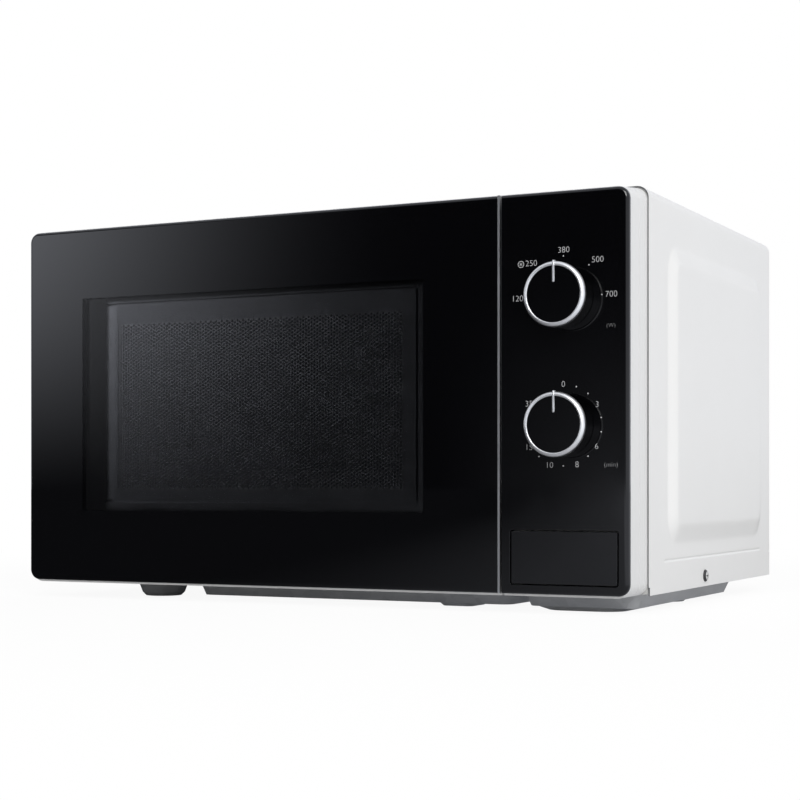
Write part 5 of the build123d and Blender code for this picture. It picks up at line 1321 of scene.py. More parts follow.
@dataclass
class OuterCase(SubAssembly):
    """The sheet over both sides and the top, with its pressed panels, and the sheets that close it."""

    half_width: float = 220.6
    z: Span = (11.2, 259.8)
    y: Span = (-119.9, 163.5)
    bend: float = 7.5
    bend_steps: int = 8
    top_steps: int = 24
    sheet: float = 0.8
    panel_y: Span = (-84.5, 138.5)
    panel_z: Span = (40.5, 230.5)
    panel_corner: float = 20.0
    panel_rise: float = 3.4
    panel_slope: float = 14.0
    panel_ease: float = 3.0
    panel_margin: float = 8.0
    bead_y: Span = (-90.5, 136.5)
    bead_z: float = 31.3
    bead_width: float = 2.4
    bead_cut: float = 0.4
    notch: tuple[float, float] = (2.2, 5.0)
    screw_side: tuple[float, float] = (-3.1, 18.2)
    screw_rear_x: float = 211.6
    screw_rear_z: tuple[float, float] = (20.8, 250.8)
    screw_rear_y: float = 162.7
    head_radius: float = 4.0
    head_height: float = 2.2
    head_edge: float = 0.5
    dome: tuple[Span, ...] = ((0.0, 0.0), (1.6, 0.1), (2.8, 0.5), (3.5, 1.0))  # radius, and fall there
    recess_half: float = 0.5
    recess_reach: float = 2.3
    recess_depth: float = 1.3
    shank_radius: float = 1.7
    shank_length: float = 8.0
    thread_turns: int = 8
    thread_root: float = 0.8
    thread_rise: float = 0.5
    tip_share: float = 0.6
    tip_length: float = 0.4
    screw_steps: int = 24
    finishes: dict[str, Finish] = worn(
        {
            ZINC_SHEET: "base_plate rear_panel",
            FOOT_MOULDING: "feet",
            DARK_RUBBER: "cord_gland",
        }
    )

    def build(self) -> None:
        """Make the case and its screws."""
        shell = dressed(new_object("outer_case_shell", self.shell_mesh()), CASE_PAINT, SHADED_CUT_EDGE)
        wall = {"thickness": self.sheet * MM, "offset": -1.0, "use_even_offset": True}
        # the rims take the second finish, the dark edge that is partly painted shade
        add_modifier(shell, "SOLIDIFY", material_offset_rim=1, **wall)
        ride_as(settled(shell), Body.CHASSIS, "case_paint", "outer_case")
        ride_as(self.screws(), Body.CHASSIS, "bright_steel", "case_screws")

    def relief(self, y: np.ndarray, z: np.ndarray) -> np.ndarray:
        """How far a side stands out: the raised panel less the bead line.

        Args:
            y: The places along the depth.
            z: The places up the side.

        Returns:
            The height at each place.
        """
        half_y = (self.panel_y[1] - self.panel_y[0]) / 2 - self.panel_corner
        half_z = (self.panel_z[1] - self.panel_z[0]) / 2 - self.panel_corner
        over_y = np.abs(y - sum(self.panel_y) / 2) - half_y
        over_z = np.abs(z - sum(self.panel_z) / 2) - half_z
        outside = np.hypot(np.maximum(over_y, 0.0), np.maximum(over_z, 0.0))
        inward = self.panel_corner - outside - np.minimum(np.maximum(over_y, over_z), 0.0)
        panel = self.panel_rise * eased_ramp(inward, self.panel_slope, self.panel_ease)
        across = np.clip(np.abs(z - self.bead_z) / self.bead_width, 0.0, 0.5)
        ends = np.clip(np.minimum(y - self.bead_y[0], self.bead_y[1] - y) / self.bead_width, 0.0, 1.0)
        bead = self.bead_cut * 0.5 * (1.0 + np.cos(2.0 * math.pi * across)) * ends
        return panel - bead

    def shell_mesh(self) -> Mesh:
        """The outer skin as an open sheet, from the right lower edge over the top to the left one.

        Returns:
            The mesh.
        """
        reach = self.panel_slope + self.panel_margin
        low, high = self.panel_z
        bead = (self.bead_z - self.bead_width, self.bead_z + self.bead_width)
        side_z = samples(
            (self.z[0], self.z[0] + self.notch[1], 1), (self.z[0] + self.notch[1], bead[0], 3), (*bead, 12),
            (bead[1], low, 3), (low, low + reach, 16), (low + reach, high - reach, 10),
            (high - reach, high, 16), (high, self.z[1] - self.bend, 3),
        )
        front, rear = self.panel_y
        lines_y = samples(
            (self.y[0], self.y[0] + self.notch[0], 1), (self.y[0] + self.notch[0], self.bead_y[0], 5),
            (self.bead_y[0], front, 4), (front, front + reach, 16), (front + reach, rear - reach, 12),
            (rear - reach, self.bead_y[1], 14), (self.bead_y[1], rear, 2), (rear, self.y[1], 5),
        )
        arc = np.radians(np.linspace(0.0, 90.0, self.bend_steps + 1)[1:-1])
        centre_x = self.half_width - self.bend
        centre_z = self.z[1] - self.bend
        right = [(self.half_width, z, 1.0) for z in side_z]
        right += [(centre_x + self.bend * np.cos(a), centre_z + self.bend * np.sin(a), 0.0) for a in arc]
        top = [(x, self.z[1], 0.0) for x in samples((-centre_x, centre_x, self.top_steps))[::-1]]
        left = [(-x, z, -side) for x, z, side in reversed(right)]
        path = np.array(right + top + left)
        y, z = np.meshgrid(lines_y, path[:, 1])
        x = np.repeat(path[:, :1], len(lines_y), axis=1)
        x = x + path[:, 2:3] * self.relief(y, z)
        count = len(lines_y)
        faces = []
        for i in range(len(path) - 1):
            for j in range(count - 1):
                lower = max(path[i, 1], path[i + 1, 1]) <= self.z[0] + self.notch[1] + CLOSE
                if lower and lines_y[j + 1] <= self.y[0] + self.notch[0] + CLOSE:
                    continue
                faces.append((i * count + j, i * count + j + 1, (i + 1) * count + j + 1, (i + 1) * count + j))
        points = np.stack([x, y, z], axis=-1).reshape(-1, 3)
        mesh = new_mesh("outer_case_shell", points.tolist(), faces)
        with editing(mesh) as work:
            loose = [point for point in work.verts if not point.link_faces]
            bmesh.ops.delete(work, geom=loose, context="VERTS")
        return mesh

    def screw_mesh(self) -> Mesh:
        """One screw along Z: a domed head with a cross recess over a threaded shank.

        Returns:
            The mesh.
        """
        sections = [(radius, self.head_height - fall) for radius, fall in self.dome]
        sections += [(self.head_radius, self.head_edge), (self.head_radius, 0.0)]
        for turn in range(self.thread_turns):
            height = -turn * self.shank_length / self.thread_turns
            sections.append((self.shank_radius * self.thread_root, height))
            sections.append((self.shank_radius, height - self.thread_rise))
        sections.append((self.shank_radius * self.tip_share, -self.shank_length))
        sections.append((0.0, -self.shank_length - self.tip_length))
        screw = new_object("screw", lathe_mesh("screw", sections, self.screw_steps))
        deep = (self.head_height - self.recess_depth, self.head_height + CUT_MARGIN)
        narrow = (-self.recess_half, self.recess_half)
        wide = (-self.recess_reach, self.recess_reach)
        for slot in ((narrow, wide, deep), (wide, narrow, deep)):
            cutter = new_object("recess", boxes_mesh("recess", [slot]))
            add_modifier(screw, "BOOLEAN", operation="DIFFERENCE", solver="EXACT", object=cutter)
            settled(screw)
            bpy.data.objects.remove(cutter)
        mesh = screw.data
        bpy.data.objects.remove(screw)
        return mesh

    def screws(self) -> Piece:
        """All the case screws as one piece, set on points that carry the way each screw faces.

        Returns:
            The piece.
        """
        quarter = math.pi / 2
        places = []
        for side in (-1, 1):
            places.append(((side * self.half_width, *self.screw_side), (0.0, side * quarter, 0.0)))
        for x in (-self.screw_rear_x, self.screw_rear_x):
            for z in self.screw_rear_z:
                places.append(((x, self.screw_rear_y, z), (-quarter, 0.0, 0.0)))
        mesh = new_mesh("case_screw_set", [place for place, _ in places], [])
        facing = mesh.attributes.new("facing", "FLOAT_VECTOR", "POINT")
        facing.data.foreach_set("vector", [part for _, turn in places for part in turn])
        sample = new_object("screw_sample", self.screw_mesh())
        tree = GeometryTree("screws_on_points")
        shape = tree.node("GeometryNodeObjectInfo", None, {"Object": tree.take("Screw", sample)}, "Geometry")
        turn = tree.node("GeometryNodeInputNamedAttribute", {"data_type": "FLOAT_VECTOR"}, {"Name": "facing"})
        rotation = tree.node("FunctionNodeEulerToRotation", None, {0: turn})
        tree.give(tree.on_points(tree.own, shape, Rotation=rotation), SCREW_STEEL)
        piece = tree.run(new_object("case_screw_set", mesh))
        bpy.data.objects.remove(sample)
        return piece


@dataclass
class Door(SubAssembly):
    """The side-hinged door: printed glass, white frame, perforated screen, choke ring, latch and hinges."""

    dish_x: Span = (-164.6, 100.0)
    dish_z: Span = (46.9, 220.5)
    dish_front: float = 12.0
    flange_x: Span = (-208.1, 134.7)
    flange_z: Span = (13.9, 252.3)
    flange_front: float = 31.0
    rim_front: float = 22.0
    sheet: float = 0.7
    press_round: float = 1.6
    press_turns: tuple[float, ...] = (30.0, 60.0, 90.0)
    channel_right: float = 76.2
    channel_z: Span = (67.4, 202.8)
    channel_width: float = 1.7
    channel_wall: float = 0.35
    channel_depth: float = 3.0
    field_x: Span = (-153.7, 65.7)
    field_z: Span = (75.5, 189.0)
    hole_pitch: float = 2.43
    hole_radius: float = 0.86
    cell_weld: float = 0.02
    field_sharp: float = 30.0
    slot_x: Span = (118.9, 128.9)
    slots_z: tuple[Span, Span] = ((66.0, 86.8), (194.0, 214.8))
    finishes: dict[str, Finish] = worn(
        {
            DOOR_GLASS: "door_glass",
            TRIM_METAL: "door_edge_trim",
            WHITE_MOULDING: "door_frame",
            CHOKE_PLASTIC: "door_choke_cover",
            CLEAR_SHEET: "door_inner_window",
            NATURAL_PLASTIC: "latch_hook",
            BRIGHT_STEEL: "upper_hinge lower_hinge",
        }
    )

    def build(self) -> None:
        """Make the screen's pan and its perforated field."""
        ride_as(dressed(self.pan(), SCREEN_STEEL, FLANGE_STEEL_LIT), Body.DOOR, "screen_black", "door_screen")
        ride_as(self.perforated_field(), Body.DOOR, "screen_black", "door_screen")

    def channel_lines(self, place: float) -> list[float]:
        """The grid lines that shape the narrow channel.

        Args:
            place: The channel's middle.

        Returns:
            The four lines.
        """
        half = self.channel_width / 2
        floor = half - self.channel_wall
        return [place - half, place - floor, place + floor, place + half]

    def channel(self, x: float, z: float) -> float:
        """The channel along the upper, right and lower side of the screen.

        Args:
            x: The place across.
            z: The place upwards.

        Returns:
            How deep it is there.
        """
        past = max(x - self.channel_right, self.channel_z[0] - z, z - self.channel_z[1])
        wall = (self.channel_width / 2 - abs(past)) / self.channel_wall
        return self.channel_depth * min(max(wall, 0.0), 1.0)

    def pan_mesh(self) -> Mesh:
        """The front skin of the pressed sheet: margin with its channel, dish wall, flange and rim.

        Returns:
            The mesh.
        """
        edge = self.press_round
        lower, upper = self.channel_z
        lines_x = [self.dish_x[0] + edge, *self.field_x]
        lines_x += [*self.channel_lines(self.channel_right), self.dish_x[1] - edge]
        lines_z = [self.dish_z[0] + edge, *self.channel_lines(lower), *self.field_z]
        lines_z += [*self.channel_lines(upper), self.dish_z[1] - edge]
        points = [(x, FRONT_Y + self.dish_front + self.channel(x, z), z) for z in lines_z for x in lines_x]
        wide = len(lines_x)
        faces = []
        for row in range(len(lines_z) - 1):
            for column in range(wide - 1):
                in_field = self.field_x[0] <= lines_x[column] < self.field_x[1]
                if in_field and self.field_z[0] <= lines_z[row] < self.field_z[1]:
                    continue
                corner = row * wide + column
                faces.append((corner, corner + 1, corner + wide + 1, corner + wide))
        last = (len(lines_z) - 1) * wide
        loop = list(range(wide - 1)) + list(range(wide - 1, last + wide - 1, wide))
        loop += list(range(last + wide - 1, last, -1)) + list(range(last, 0, -wide))
        rings = []
        for turn in self.press_turns:
            out = edge * (1.0 - math.sin(math.radians(turn)))
            depth = self.dish_front + edge * (1.0 - math.cos(math.radians(turn)))
            rings.append((inset(self.dish_x, out), inset(self.dish_z, out), depth))
        flange = (inset(self.flange_x, self.sheet), inset(self.flange_z, self.sheet))
        rings += [(self.dish_x, self.dish_z, self.flange_front), (*flange, self.flange_front)]
        rings.append((*flange, self.rim_front))
        inner = loop
        for span_x, span_z, depth in rings:
            outer = []
            for corner in loop:
                x, y, z = points[corner]
                x = span_x[0] if x == lines_x[0] else span_x[1] if x == lines_x[-1] else x
                z = span_z[0] if z == lines_z[0] else span_z[1] if z == lines_z[-1] else z
                deeper = self.channel(*points[corner][::2]) if depth < self.flange_front else 0.0
                outer.append(len(points))
                points.append((x, FRONT_Y + depth + deeper, z))
            for step in range(len(loop)):
                after = (step + 1) % len(loop)
                faces.append((inner[step], outer[step], outer[after], inner[after]))
            inner = outer
        mesh = new_mesh("door_screen_pan", points, faces)
        # the dish walls, flange and rim take the second finish, the lighter painted-light copy of the steel
        for flange_face in mesh.polygons[-3 * len(loop):]:
            flange_face.material_index = 1
        return mesh

    def pan(self) -> Piece:
        """The pressed steel sheet round the perforated field, with its slots for the hook's arms.

        Returns:
            The piece.
        """
        pan = new_object("door_screen_pan", self.pan_mesh())
        add_modifier(pan, "SOLIDIFY", thickness=self.sheet * MM, offset=-1.0)
        y = (FRONT_Y + self.flange_front - CUT_MARGIN, FRONT_Y + self.flange_front + 2.0 * CUT_MARGIN)
        slots = [(self.slot_x, y, z) for z in self.slots_z]
        cutter = new_object("hook_slots", boxes_mesh("hook_slots", slots))
        add_modifier(pan, "BOOLEAN", operation="DIFFERENCE", solver="EXACT", object=cutter)
        settled(pan)
        bpy.data.objects.remove(cutter)
        return pan

    def cell_mesh(self, width: float, height: float) -> Mesh:
        """One brick of the perforated sheet: both faces round a six-sided hole, and its wall.

        Args:
            width: The width of the brick.
            height: Its height.

        Returns:
            The mesh.
        """
        half = width / 2
        rise = height / 2
        edge = [(half, -rise), (half, 0.0), (half, rise), (-half, rise), (-half, 0.0), (-half, -rise)]
        angles = [math.radians(60.0 * step) for step in range(-1, 5)]
        hole = [(self.hole_radius * math.cos(a), self.hole_radius * math.sin(a)) for a in angles]
        points = [(x, y, z) for y in (0.0, self.sheet) for x, z in edge + hole]
        sides = len(edge)
        faces = []
        for step in range(sides):
            after = (step + 1) % sides
            rim, rim_after = step + sides, after + sides
            back, back_after = rim + sides, rim_after + sides
            back_rim, back_rim_after = back + sides, back_after + sides
            faces.append((rim, step, after, rim_after))
            faces.append((back_rim_after, back_after, back, back_rim))
            faces.append((rim_after, back_rim_after, back_rim, rim))
        return new_mesh("perforated_cell", points, faces)

    def perforated_field(self) -> Piece:
        """The staggered field of holes, its cells set out column by column by their index.

        Returns:
            The piece.
        """
        rows = round((self.field_z[1] - self.field_z[0]) / self.hole_pitch)
        height = (self.field_z[1] - self.field_z[0]) / rows
        columns = round((self.field_x[1] - self.field_x[0]) / (height * math.sqrt(0.75)))
        width = (self.field_x[1] - self.field_x[0]) / columns
        piece = new_object("door_screen_field", self.cell_mesh(width, height))
        tree = GeometryTree("staggered_perforation")
        count = tree.take("Rows", rows)
        pitch = tree.take("Pitch", height * MM)
        step = tree.take("Column Pitch", width * MM)
        left = tree.take("Left", self.field_x[0] * MM)
        bottom = tree.take("Bottom", self.field_z[0] * MM)
        start = tree.combine(left, (FRONT_Y + self.dish_front) * MM, bottom)
        index = tree.node("GeometryNodeInputIndex")
        column = (index / count).floor()
        odd = column % 2.0
        row = index - column * count
        place = tree.combine((column + 0.5) * step, 0.0, (row + 0.5 + 0.5 * odd) * pitch)
        spots = {"Count": count * tree.take("Columns", columns), "Position": tree.vector("ADD", start, place)}
        cells = tree.node("GeometryNodePoints", None, spots)
        past_end = (row + odd).above(count - 0.5)
        kept = tree.node("GeometryNodeDeleteGeometry", {"domain": "POINT"}, {0: cells, "Selection": past_end})
        holes = tree.on_points(kept, tree.own)
        brick = self.half_brick(tree, step, pitch, tree.take("Sheet", self.sheet * MM))
        column = (index / 2.0).floor() * 2.0 + 1.0
        height_at_end = (0.25 + (index % 2.0) * (count - 0.5)) * pitch
        place = tree.vector("ADD", start, tree.combine((column + 0.5) * step, 0.0, height_at_end))
        spots = tree.node("GeometryNodePoints", None, {"Count": 2 * (columns // 2), "Position": place})
        ends = tree.on_points(spots, brick)
        real = tree.node("GeometryNodeRealizeInstances", None, {0: tree.together(holes, ends)})
        welded = tree.node("GeometryNodeMergeByDistance", None, {0: real, "Distance": self.cell_weld * MM})
        # the web takes the lighter copy of the steel, a painted sheen
        tree.give(welded, WEB_STEEL_SHEEN)
        return tree.run(piece, self.field_sharp)

    @staticmethod
    def half_brick(tree: GeometryTree, width: Value, pitch: Value, sheet: Value) -> Value:
        """The two plain faces that close an end of every second column.

        Args:
            tree: The tree of the perforated field.
            width: The width of a cell.
            pitch: The height of a cell.
            sheet: The thickness of the sheet.

        Returns:
            The half brick.
        """
        size = {"Size X": width, "Size Y": pitch * 0.5, "Vertices X": 2, "Vertices Y": 2}
        flat = tree.node("GeometryNodeMeshGrid", None, size)
        quarter = math.pi / 2
        faces = []
        for turn, depth in ((quarter, 0.0), (-quarter, sheet)):
            faces.append(tree.moved(flat, tree.combine(0.0, depth, 0.0), (turn, 0.0, 0.0)))
        return tree.together(*faces)


@dataclass(frozen=True)
class Mark:
    """One printed figure of a scale, with its place to the right of and above the dial's axis."""

    words: str
    right: float
    up: float
    size: float = 5.2


@dataclass(frozen=True)
class Dial:
    """One dial: its name and body, the height of its axis, its ring's finish and its printed scale."""

    name: str
    body: Body
    z: float
    metal: Finish
    marks: tuple[Mark, ...]
    unit: Mark
    dots: tuple[float, ...]


POWER_DIAL = Dial(
    name="power",
    body=Body.POWER_DIAL,
    z=POWER_Z,
    metal=POWER_RING_METAL,
    marks=(
        Mark("120", -29.6, 0.0),
        Mark("250", -20.6, 20.9),
        Mark("380", 0.2, 27.8),
        Mark("500", 21.7, 20.9),
        Mark("700", 30.2, 0.0),
    ),
    unit=Mark("(W)", 30.0, -18.4, 3.5),
    dots=(-90.0, -42.0, 0.0, 42.0, 90.0),
)
TIMER_DIAL = Dial(
    name="timer",
    body=Body.TIMER_DIAL,
    z=TIMER_Z,
    metal=TIMER_RING_METAL,
    marks=(
        Mark("0", 0.0, 24.4),
        Mark("3", 21.4, 11.9),
        Mark("6", 21.0, -12.9),
        Mark("8", 8.7, -23.6),
        Mark("10", -8.9, -23.9),
        Mark("15", -22.1, -13.1),
        Mark("35", -22.1, 13.1),
    ),
    unit=Mark("(min)", 30.0, -23.7, 4.2),
    dots=(20.0, 40.0, 80.0, 100.0, 140.0, 180.0, 220.0, 260.0, 280.0),
)


@dataclass
class ControlPanel(SubAssembly):
    """The panel beside the door: fascia, two dials with printed scales, release button and switchgear."""

    print_lift: float = 0.06
    stroke_thinning: float = 0.1
    letter_steps: int = 4
    dot_radius: float = 0.45
    dot_sides: int = 12
    dot_distance: float = 24.3
    thaw_mark: Span = (-27.3, 20.7)
    thaw_band: Span = (1.75, 2.05)
    thaw_arm: Span = (1.1, 0.13)
    thaw_turns: tuple[float, ...] = (30.0, 90.0, 150.0)
    thaw_steps: int = 28
    ring_inner: float = 16.8
    ring_outer: float = 19.4
    ring_back: float = 13.4
    ring_front: float = 17.0
    ring_lip: float = 0.4
    ring_flat: float = 0.16
    ring_fall: float = 2.2
    ring_arc_steps: int = 8
    ring_steps: int = 96
    ring_sharp: float = 32.0
    pointer_width: float = 1.8
    pointer_top: float = 0.45  # the flat share of its width
    pointer_sections: tuple[Point, ...] = (  # radius, base and top of each
        (7.0, 16.2, 16.4),
        (7.7, 16.2, 17.0),
        (16.6, 16.2, 17.0),
        (17.4, 16.2, 17.3),
        (18.5, 15.8, 17.1),
        (20.0, 14.8, 16.3),
    )
    finishes: dict[str, Finish] = worn(
        {
            PANEL_GLOSS: "control_fascia",
            WHITE_MOULDING: "control_housing",
            BUTTON_GLOSS: "release_button",
            KNOB_GLOSS: "power_knob timer_knob",
            BRIGHT_STEEL: "power_shaft timer_shaft",
            DARK_PLASTIC: "power_selector timer_unit interlock_switches",
            NATURAL_PLASTIC: "release_lever latch_board",
        }
    )

    def build(self) -> None:
        """Turn both dials' rings and print their scales on the fascia."""
        for dial in (POWER_DIAL, TIMER_DIAL):
            ring = joined(f"{dial.name}_knob_ring", [self.ring(dial), self.pointer(dial)])
            smooth_by_angle(ring.data, self.ring_sharp)
            ride_as(dressed(ring, dial.metal), dial.body, "silver_trim", f"{dial.name}_knob_trim")
            figures = [self.words(mark, dial.z) for mark in dial.marks]
            if dial is POWER_DIAL:
                figures += self.thaw_sign()
            print_on = joined(f"{dial.name}_scale_figures", figures)
            ride_as(dressed(print_on, SCALE_INK), Body.CHASSIS, "silver_trim")
            unit = joined(f"{dial.name}_scale_unit", [self.words(dial.unit, dial.z)])
            ride_as(dressed(unit, UNIT_INK), Body.CHASSIS, "silver_trim")
            ride_as(self.dots(dial), Body.CHASSIS, "silver_trim")

    def ring(self, dial: Dial) -> Mesh:
        """The silver ring, rounded over its front towards the outer edge.

        Args:
            dial: The dial.

        Returns:
            The mesh.
        """
        width = self.ring_outer - self.ring_inner
        profile = [(self.ring_inner, self.ring_back), (self.ring_inner, self.ring_front - self.ring_lip)]
        for step in range(self.ring_arc_steps + 1):
            turn = math.radians(90.0 * step / self.ring_arc_steps)
            radius = self.ring_inner + width * (self.ring_flat + (1.0 - self.ring_flat) * math.sin(turn))
            profile.append((radius, self.ring_front - self.ring_fall * (1.0 - math.cos(turn))))
        profile += [(self.ring_outer, self.ring_back), (self.ring_inner, self.ring_back)]
        mesh = lathe_mesh("ring", profile, self.ring_steps)
        mesh.transform(self.on_panel(DIAL_X, dial.z))
        return mesh

    def pointer(self, dial: Dial) -> Mesh:
        """The raised pointer: a ridge over the face, the ring and down its side.

        Args:
            dial: The dial.

        Returns:
            The mesh.
        """
        half = self.pointer_width / 2
        flat = self.pointer_top * half
        points = []
        for radius, base, top in self.pointer_sections:
            section = ((-half, base), (-flat, top), (flat, top), (half, base))
            points += [(DIAL_X + x, FRONT_Y - height, dial.z + radius) for x, height in section]
        faces = [(0, 1, 2, 3), tuple(len(points) - 1 - corner for corner in range(4))]
        for start in range(0, len(points) - 4, 4):
            for corner in range(4):
                after = (corner + 1) % 4
                faces.append((start + corner, start + 4 + corner, start + 4 + after, start + after))
        return outward(new_mesh("pointer", points, faces))

    def thaw_sign(self) -> list[Mesh]:
        """A small ring with a six-armed crystal in it, the common sign for thawing.

        Returns:
            The meshes of the ring and the arms.
        """
        place = self.on_panel(DIAL_X + self.thaw_mark[0], POWER_Z + self.thaw_mark[1])
        half = self.print_lift / 2
        inner, outer = self.thaw_band
        band = [(inner, -half), (inner, half), (outer, half), (outer, -half), (inner, -half)]
        signs = [lathe_mesh("band", band, self.thaw_steps)]
        for turn in self.thaw_turns:
            arm = boxes_mesh("arm", [tuple((-reach, reach) for reach in (*self.thaw_arm, half))])
            arm.transform(Matrix.Rotation(math.radians(turn), 4, "Z"))
            signs.append(arm)
        for sign in signs:
            sign.transform(place)
        return signs

    @staticmethod
    def on_panel(x: float, z: float) -> Matrix:
        """The turn and move that set a flat mesh upright on the fascia at a place."""
        return Matrix.Translation((x * MM, FRONT_Y * MM, z * MM)) @ Matrix.Rotation(math.pi / 2, 4, "X")

    def words(self, mark: Mark, axis_z: float) -> Mesh:
        """A printed figure as a thin mesh on the fascia.

        Args:
            mark: The figure and its place.
            axis_z: The height of the dial's axis.

        Returns:
            The mesh.
        """
        curve = bpy.data.curves.new("words", "FONT")
        curve.body = mark.words
        curve.size = mark.size * MM
        curve.align_x = "CENTER"
        curve.align_y = "CENTER"
        curve.offset = -self.stroke_thinning * MM
        curve.extrude = 0.5 * self.print_lift * MM
        curve.resolution_u = self.letter_steps
        holder = new_object("words", curve)
        mesh = bpy.data.meshes.new_from_object(holder)
        bpy.data.objects.remove(holder)
        mesh.transform(self.on_panel(DIAL_X + mark.right, axis_z + mark.up))
        return mesh

    def dots(self, dial: Dial) -> Piece:
        """The printed dots round a dial, at their angles clockwise from the top.

        Args:
            dial: The dial.

        Returns:
            The piece.
        """
        turns = [math.radians(angle) for angle in dial.dots]
        reach = self.dot_distance
        places = []
        for turn in turns:
            places.append((DIAL_X + reach * math.sin(turn), FRONT_Y, dial.z + reach * math.cos(turn)))
        name = f"{dial.name}_scale_dots"
        tree = GeometryTree(f"{name}_tree")
        radius = tree.take("Radius", self.dot_radius * MM)
        size = {"Vertices": self.dot_sides, "Radius": radius, "Depth": self.print_lift * MM}
        dot = tree.node("GeometryNodeMeshCylinder", None, size)
        upright = tree.moved(dot, turn=(math.pi / 2, 0.0, 0.0))
        tree.give(tree.on_points(tree.own, upright), SCALE_INK)
        return tree.run(new_object(name, new_mesh(name, places, [])))


@dataclass
class Springs(SubAssembly):
    """The two coil springs of the latch and its release button."""

    latch_turns: int = 6
    latch_travel: float = 3.8
    latch_wire: float = 0.45
    button_turns: int = 5
    button_travel: float = 5.0
    button_wire: float = 0.45
    turn_steps: int = 40
    wire_sides: int = 8
    coil_sharp: float = 50.0

    def build(self) -> None:
        """Wind both springs in the place of their CAD solids."""
        latch = self.wind("latch_spring", Axis.Z, self.latch_turns, self.latch_wire, Body.DOOR)
        self.shorten(latch, "latch_spring", "latch_lift", Axis.Z, self.latch_travel)
        button = self.wind("button_spring", Axis.Y, self.button_turns, self.button_wire, Body.CHASSIS)
        self.shorten(button, "button_spring", "button_press", Axis.Y, self.button_travel)

    def wind(self, node: str, axis: Axis, turns: int, wire: float, body: Body) -> Piece:
        """Wind one spring inside its CAD node's box.

        Args:
            node: The CAD node.
            axis: The direction of the spring's axis.
            turns: The number of turns.
            wire: The radius of the wire.
            body: The body that carries it.

        Returns:
            The spring.
        """
        low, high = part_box(node)
        size = high - low
        across = min(size[index] for index in range(3) if index != axis.value)
        tree = GeometryTree(f"{node}_winding")
        radius = tree.take("Radius", across / 2 - wire * MM)
        path = {
            "Resolution": self.turn_steps, "Rotations": float(turns),
            "Start Radius": radius, "End Radius": radius,
            "Height": tree.take("Height", size[axis.value] - 2 * wire * MM),
        }
        spiral = tree.node("GeometryNodeCurveSpiral", None, path)
        circle = {"Resolution": self.wire_sides, "Radius": wire * MM}
        section = tree.node("GeometryNodeCurvePrimitiveCircle", None, circle)
        swept = {"Curve": spiral, "Profile Curve": section, "Fill Caps": True}
        coil = tree.node("GeometryNodeCurveToMesh", None, swept)
        centre = (low + high) / 2
        base = [centre[0], centre[1], centre[2]]
        base[axis.value] = low[axis.value] + wire * MM
        turn = (-math.pi / 2, 0.0, 0.0) if axis is Axis.Y else (0.0, 0.0, 0.0)
        tree.give(tree.moved(coil, tuple(base), turn), BRIGHT_STEEL)
        piece = tree.run(new_object(f"{node}_coil", new_mesh(node, [], [])), self.coil_sharp)
        return ride_as(piece, body, "bright_steel", node)

    @staticmethod
    def shorten(piece: Piece, node: str, joint: str, axis: Axis, travel: float) -> None:
        """Give a spring its own copy of its mesh.

        Args:
            piece: The spring.
            node: Its CAD node. Not used.
            joint: The joint that it follows. Not used.
            axis: The spring's axis. Not used.
            travel: How far the near end moves. Not used.
        """
        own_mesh(piece)


@dataclass
class OvenCavity(SubAssembly):
    """The enamelled box with the waveguide's mica cover and the turntable in it."""

    finishes: dict[str, Finish] = worn(
        {
            OVEN_ENAMEL: (
                "front_plate cavity_left_wall cavity_right_wall cavity_ceiling cavity_floor "
                "cavity_rear_wall"
            ),
            MICA_SHEET: "waveguide_cover",
            TRAY_GLASS: "glass_tray",
            NATURAL_PLASTIC: (
                "roller_ring roller_wheel_1 roller_wheel_2 roller_wheel_3 turntable_coupler"
            ),
            BARE_ALUMINIUM: "turntable_motor",
        }
    )


@dataclass
class PowerUnit(SubAssembly):
    """What makes and cools the microwaves, in the space behind the control panel."""

    filter_front: float = 1.8  # how far before the filter's rear end the colour of its parts begins
    finishes: dict[str, Finish] = worn(
        {
            ZINC_SHEET: "waveguide magnetron_yoke fan_motor",
            COPPER: "magnetron_tube",
            CORE_IRON: "transformer_core",
            WINDING: "transformer_windings",
            BARE_ALUMINIUM: "high_voltage_capacitor thermal_cutouts",
            DARK_PLASTIC: "high_voltage_diode fan_shroud fan_blade",
            NATURAL_PLASTIC: "lamp_holder",
            BULB_GLASS: "lamp_bulb",
        }
    )

    def dress(self) -> None:
        """Give every CAD node its finish, and the filter board one placed from its own rear end."""
        super().dress()
        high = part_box("noise_filter")[1]
        self.finishes = {"noise_filter": CircuitBoard("filter_board", high[1] / MM - self.filter_front)}
        super().dress()


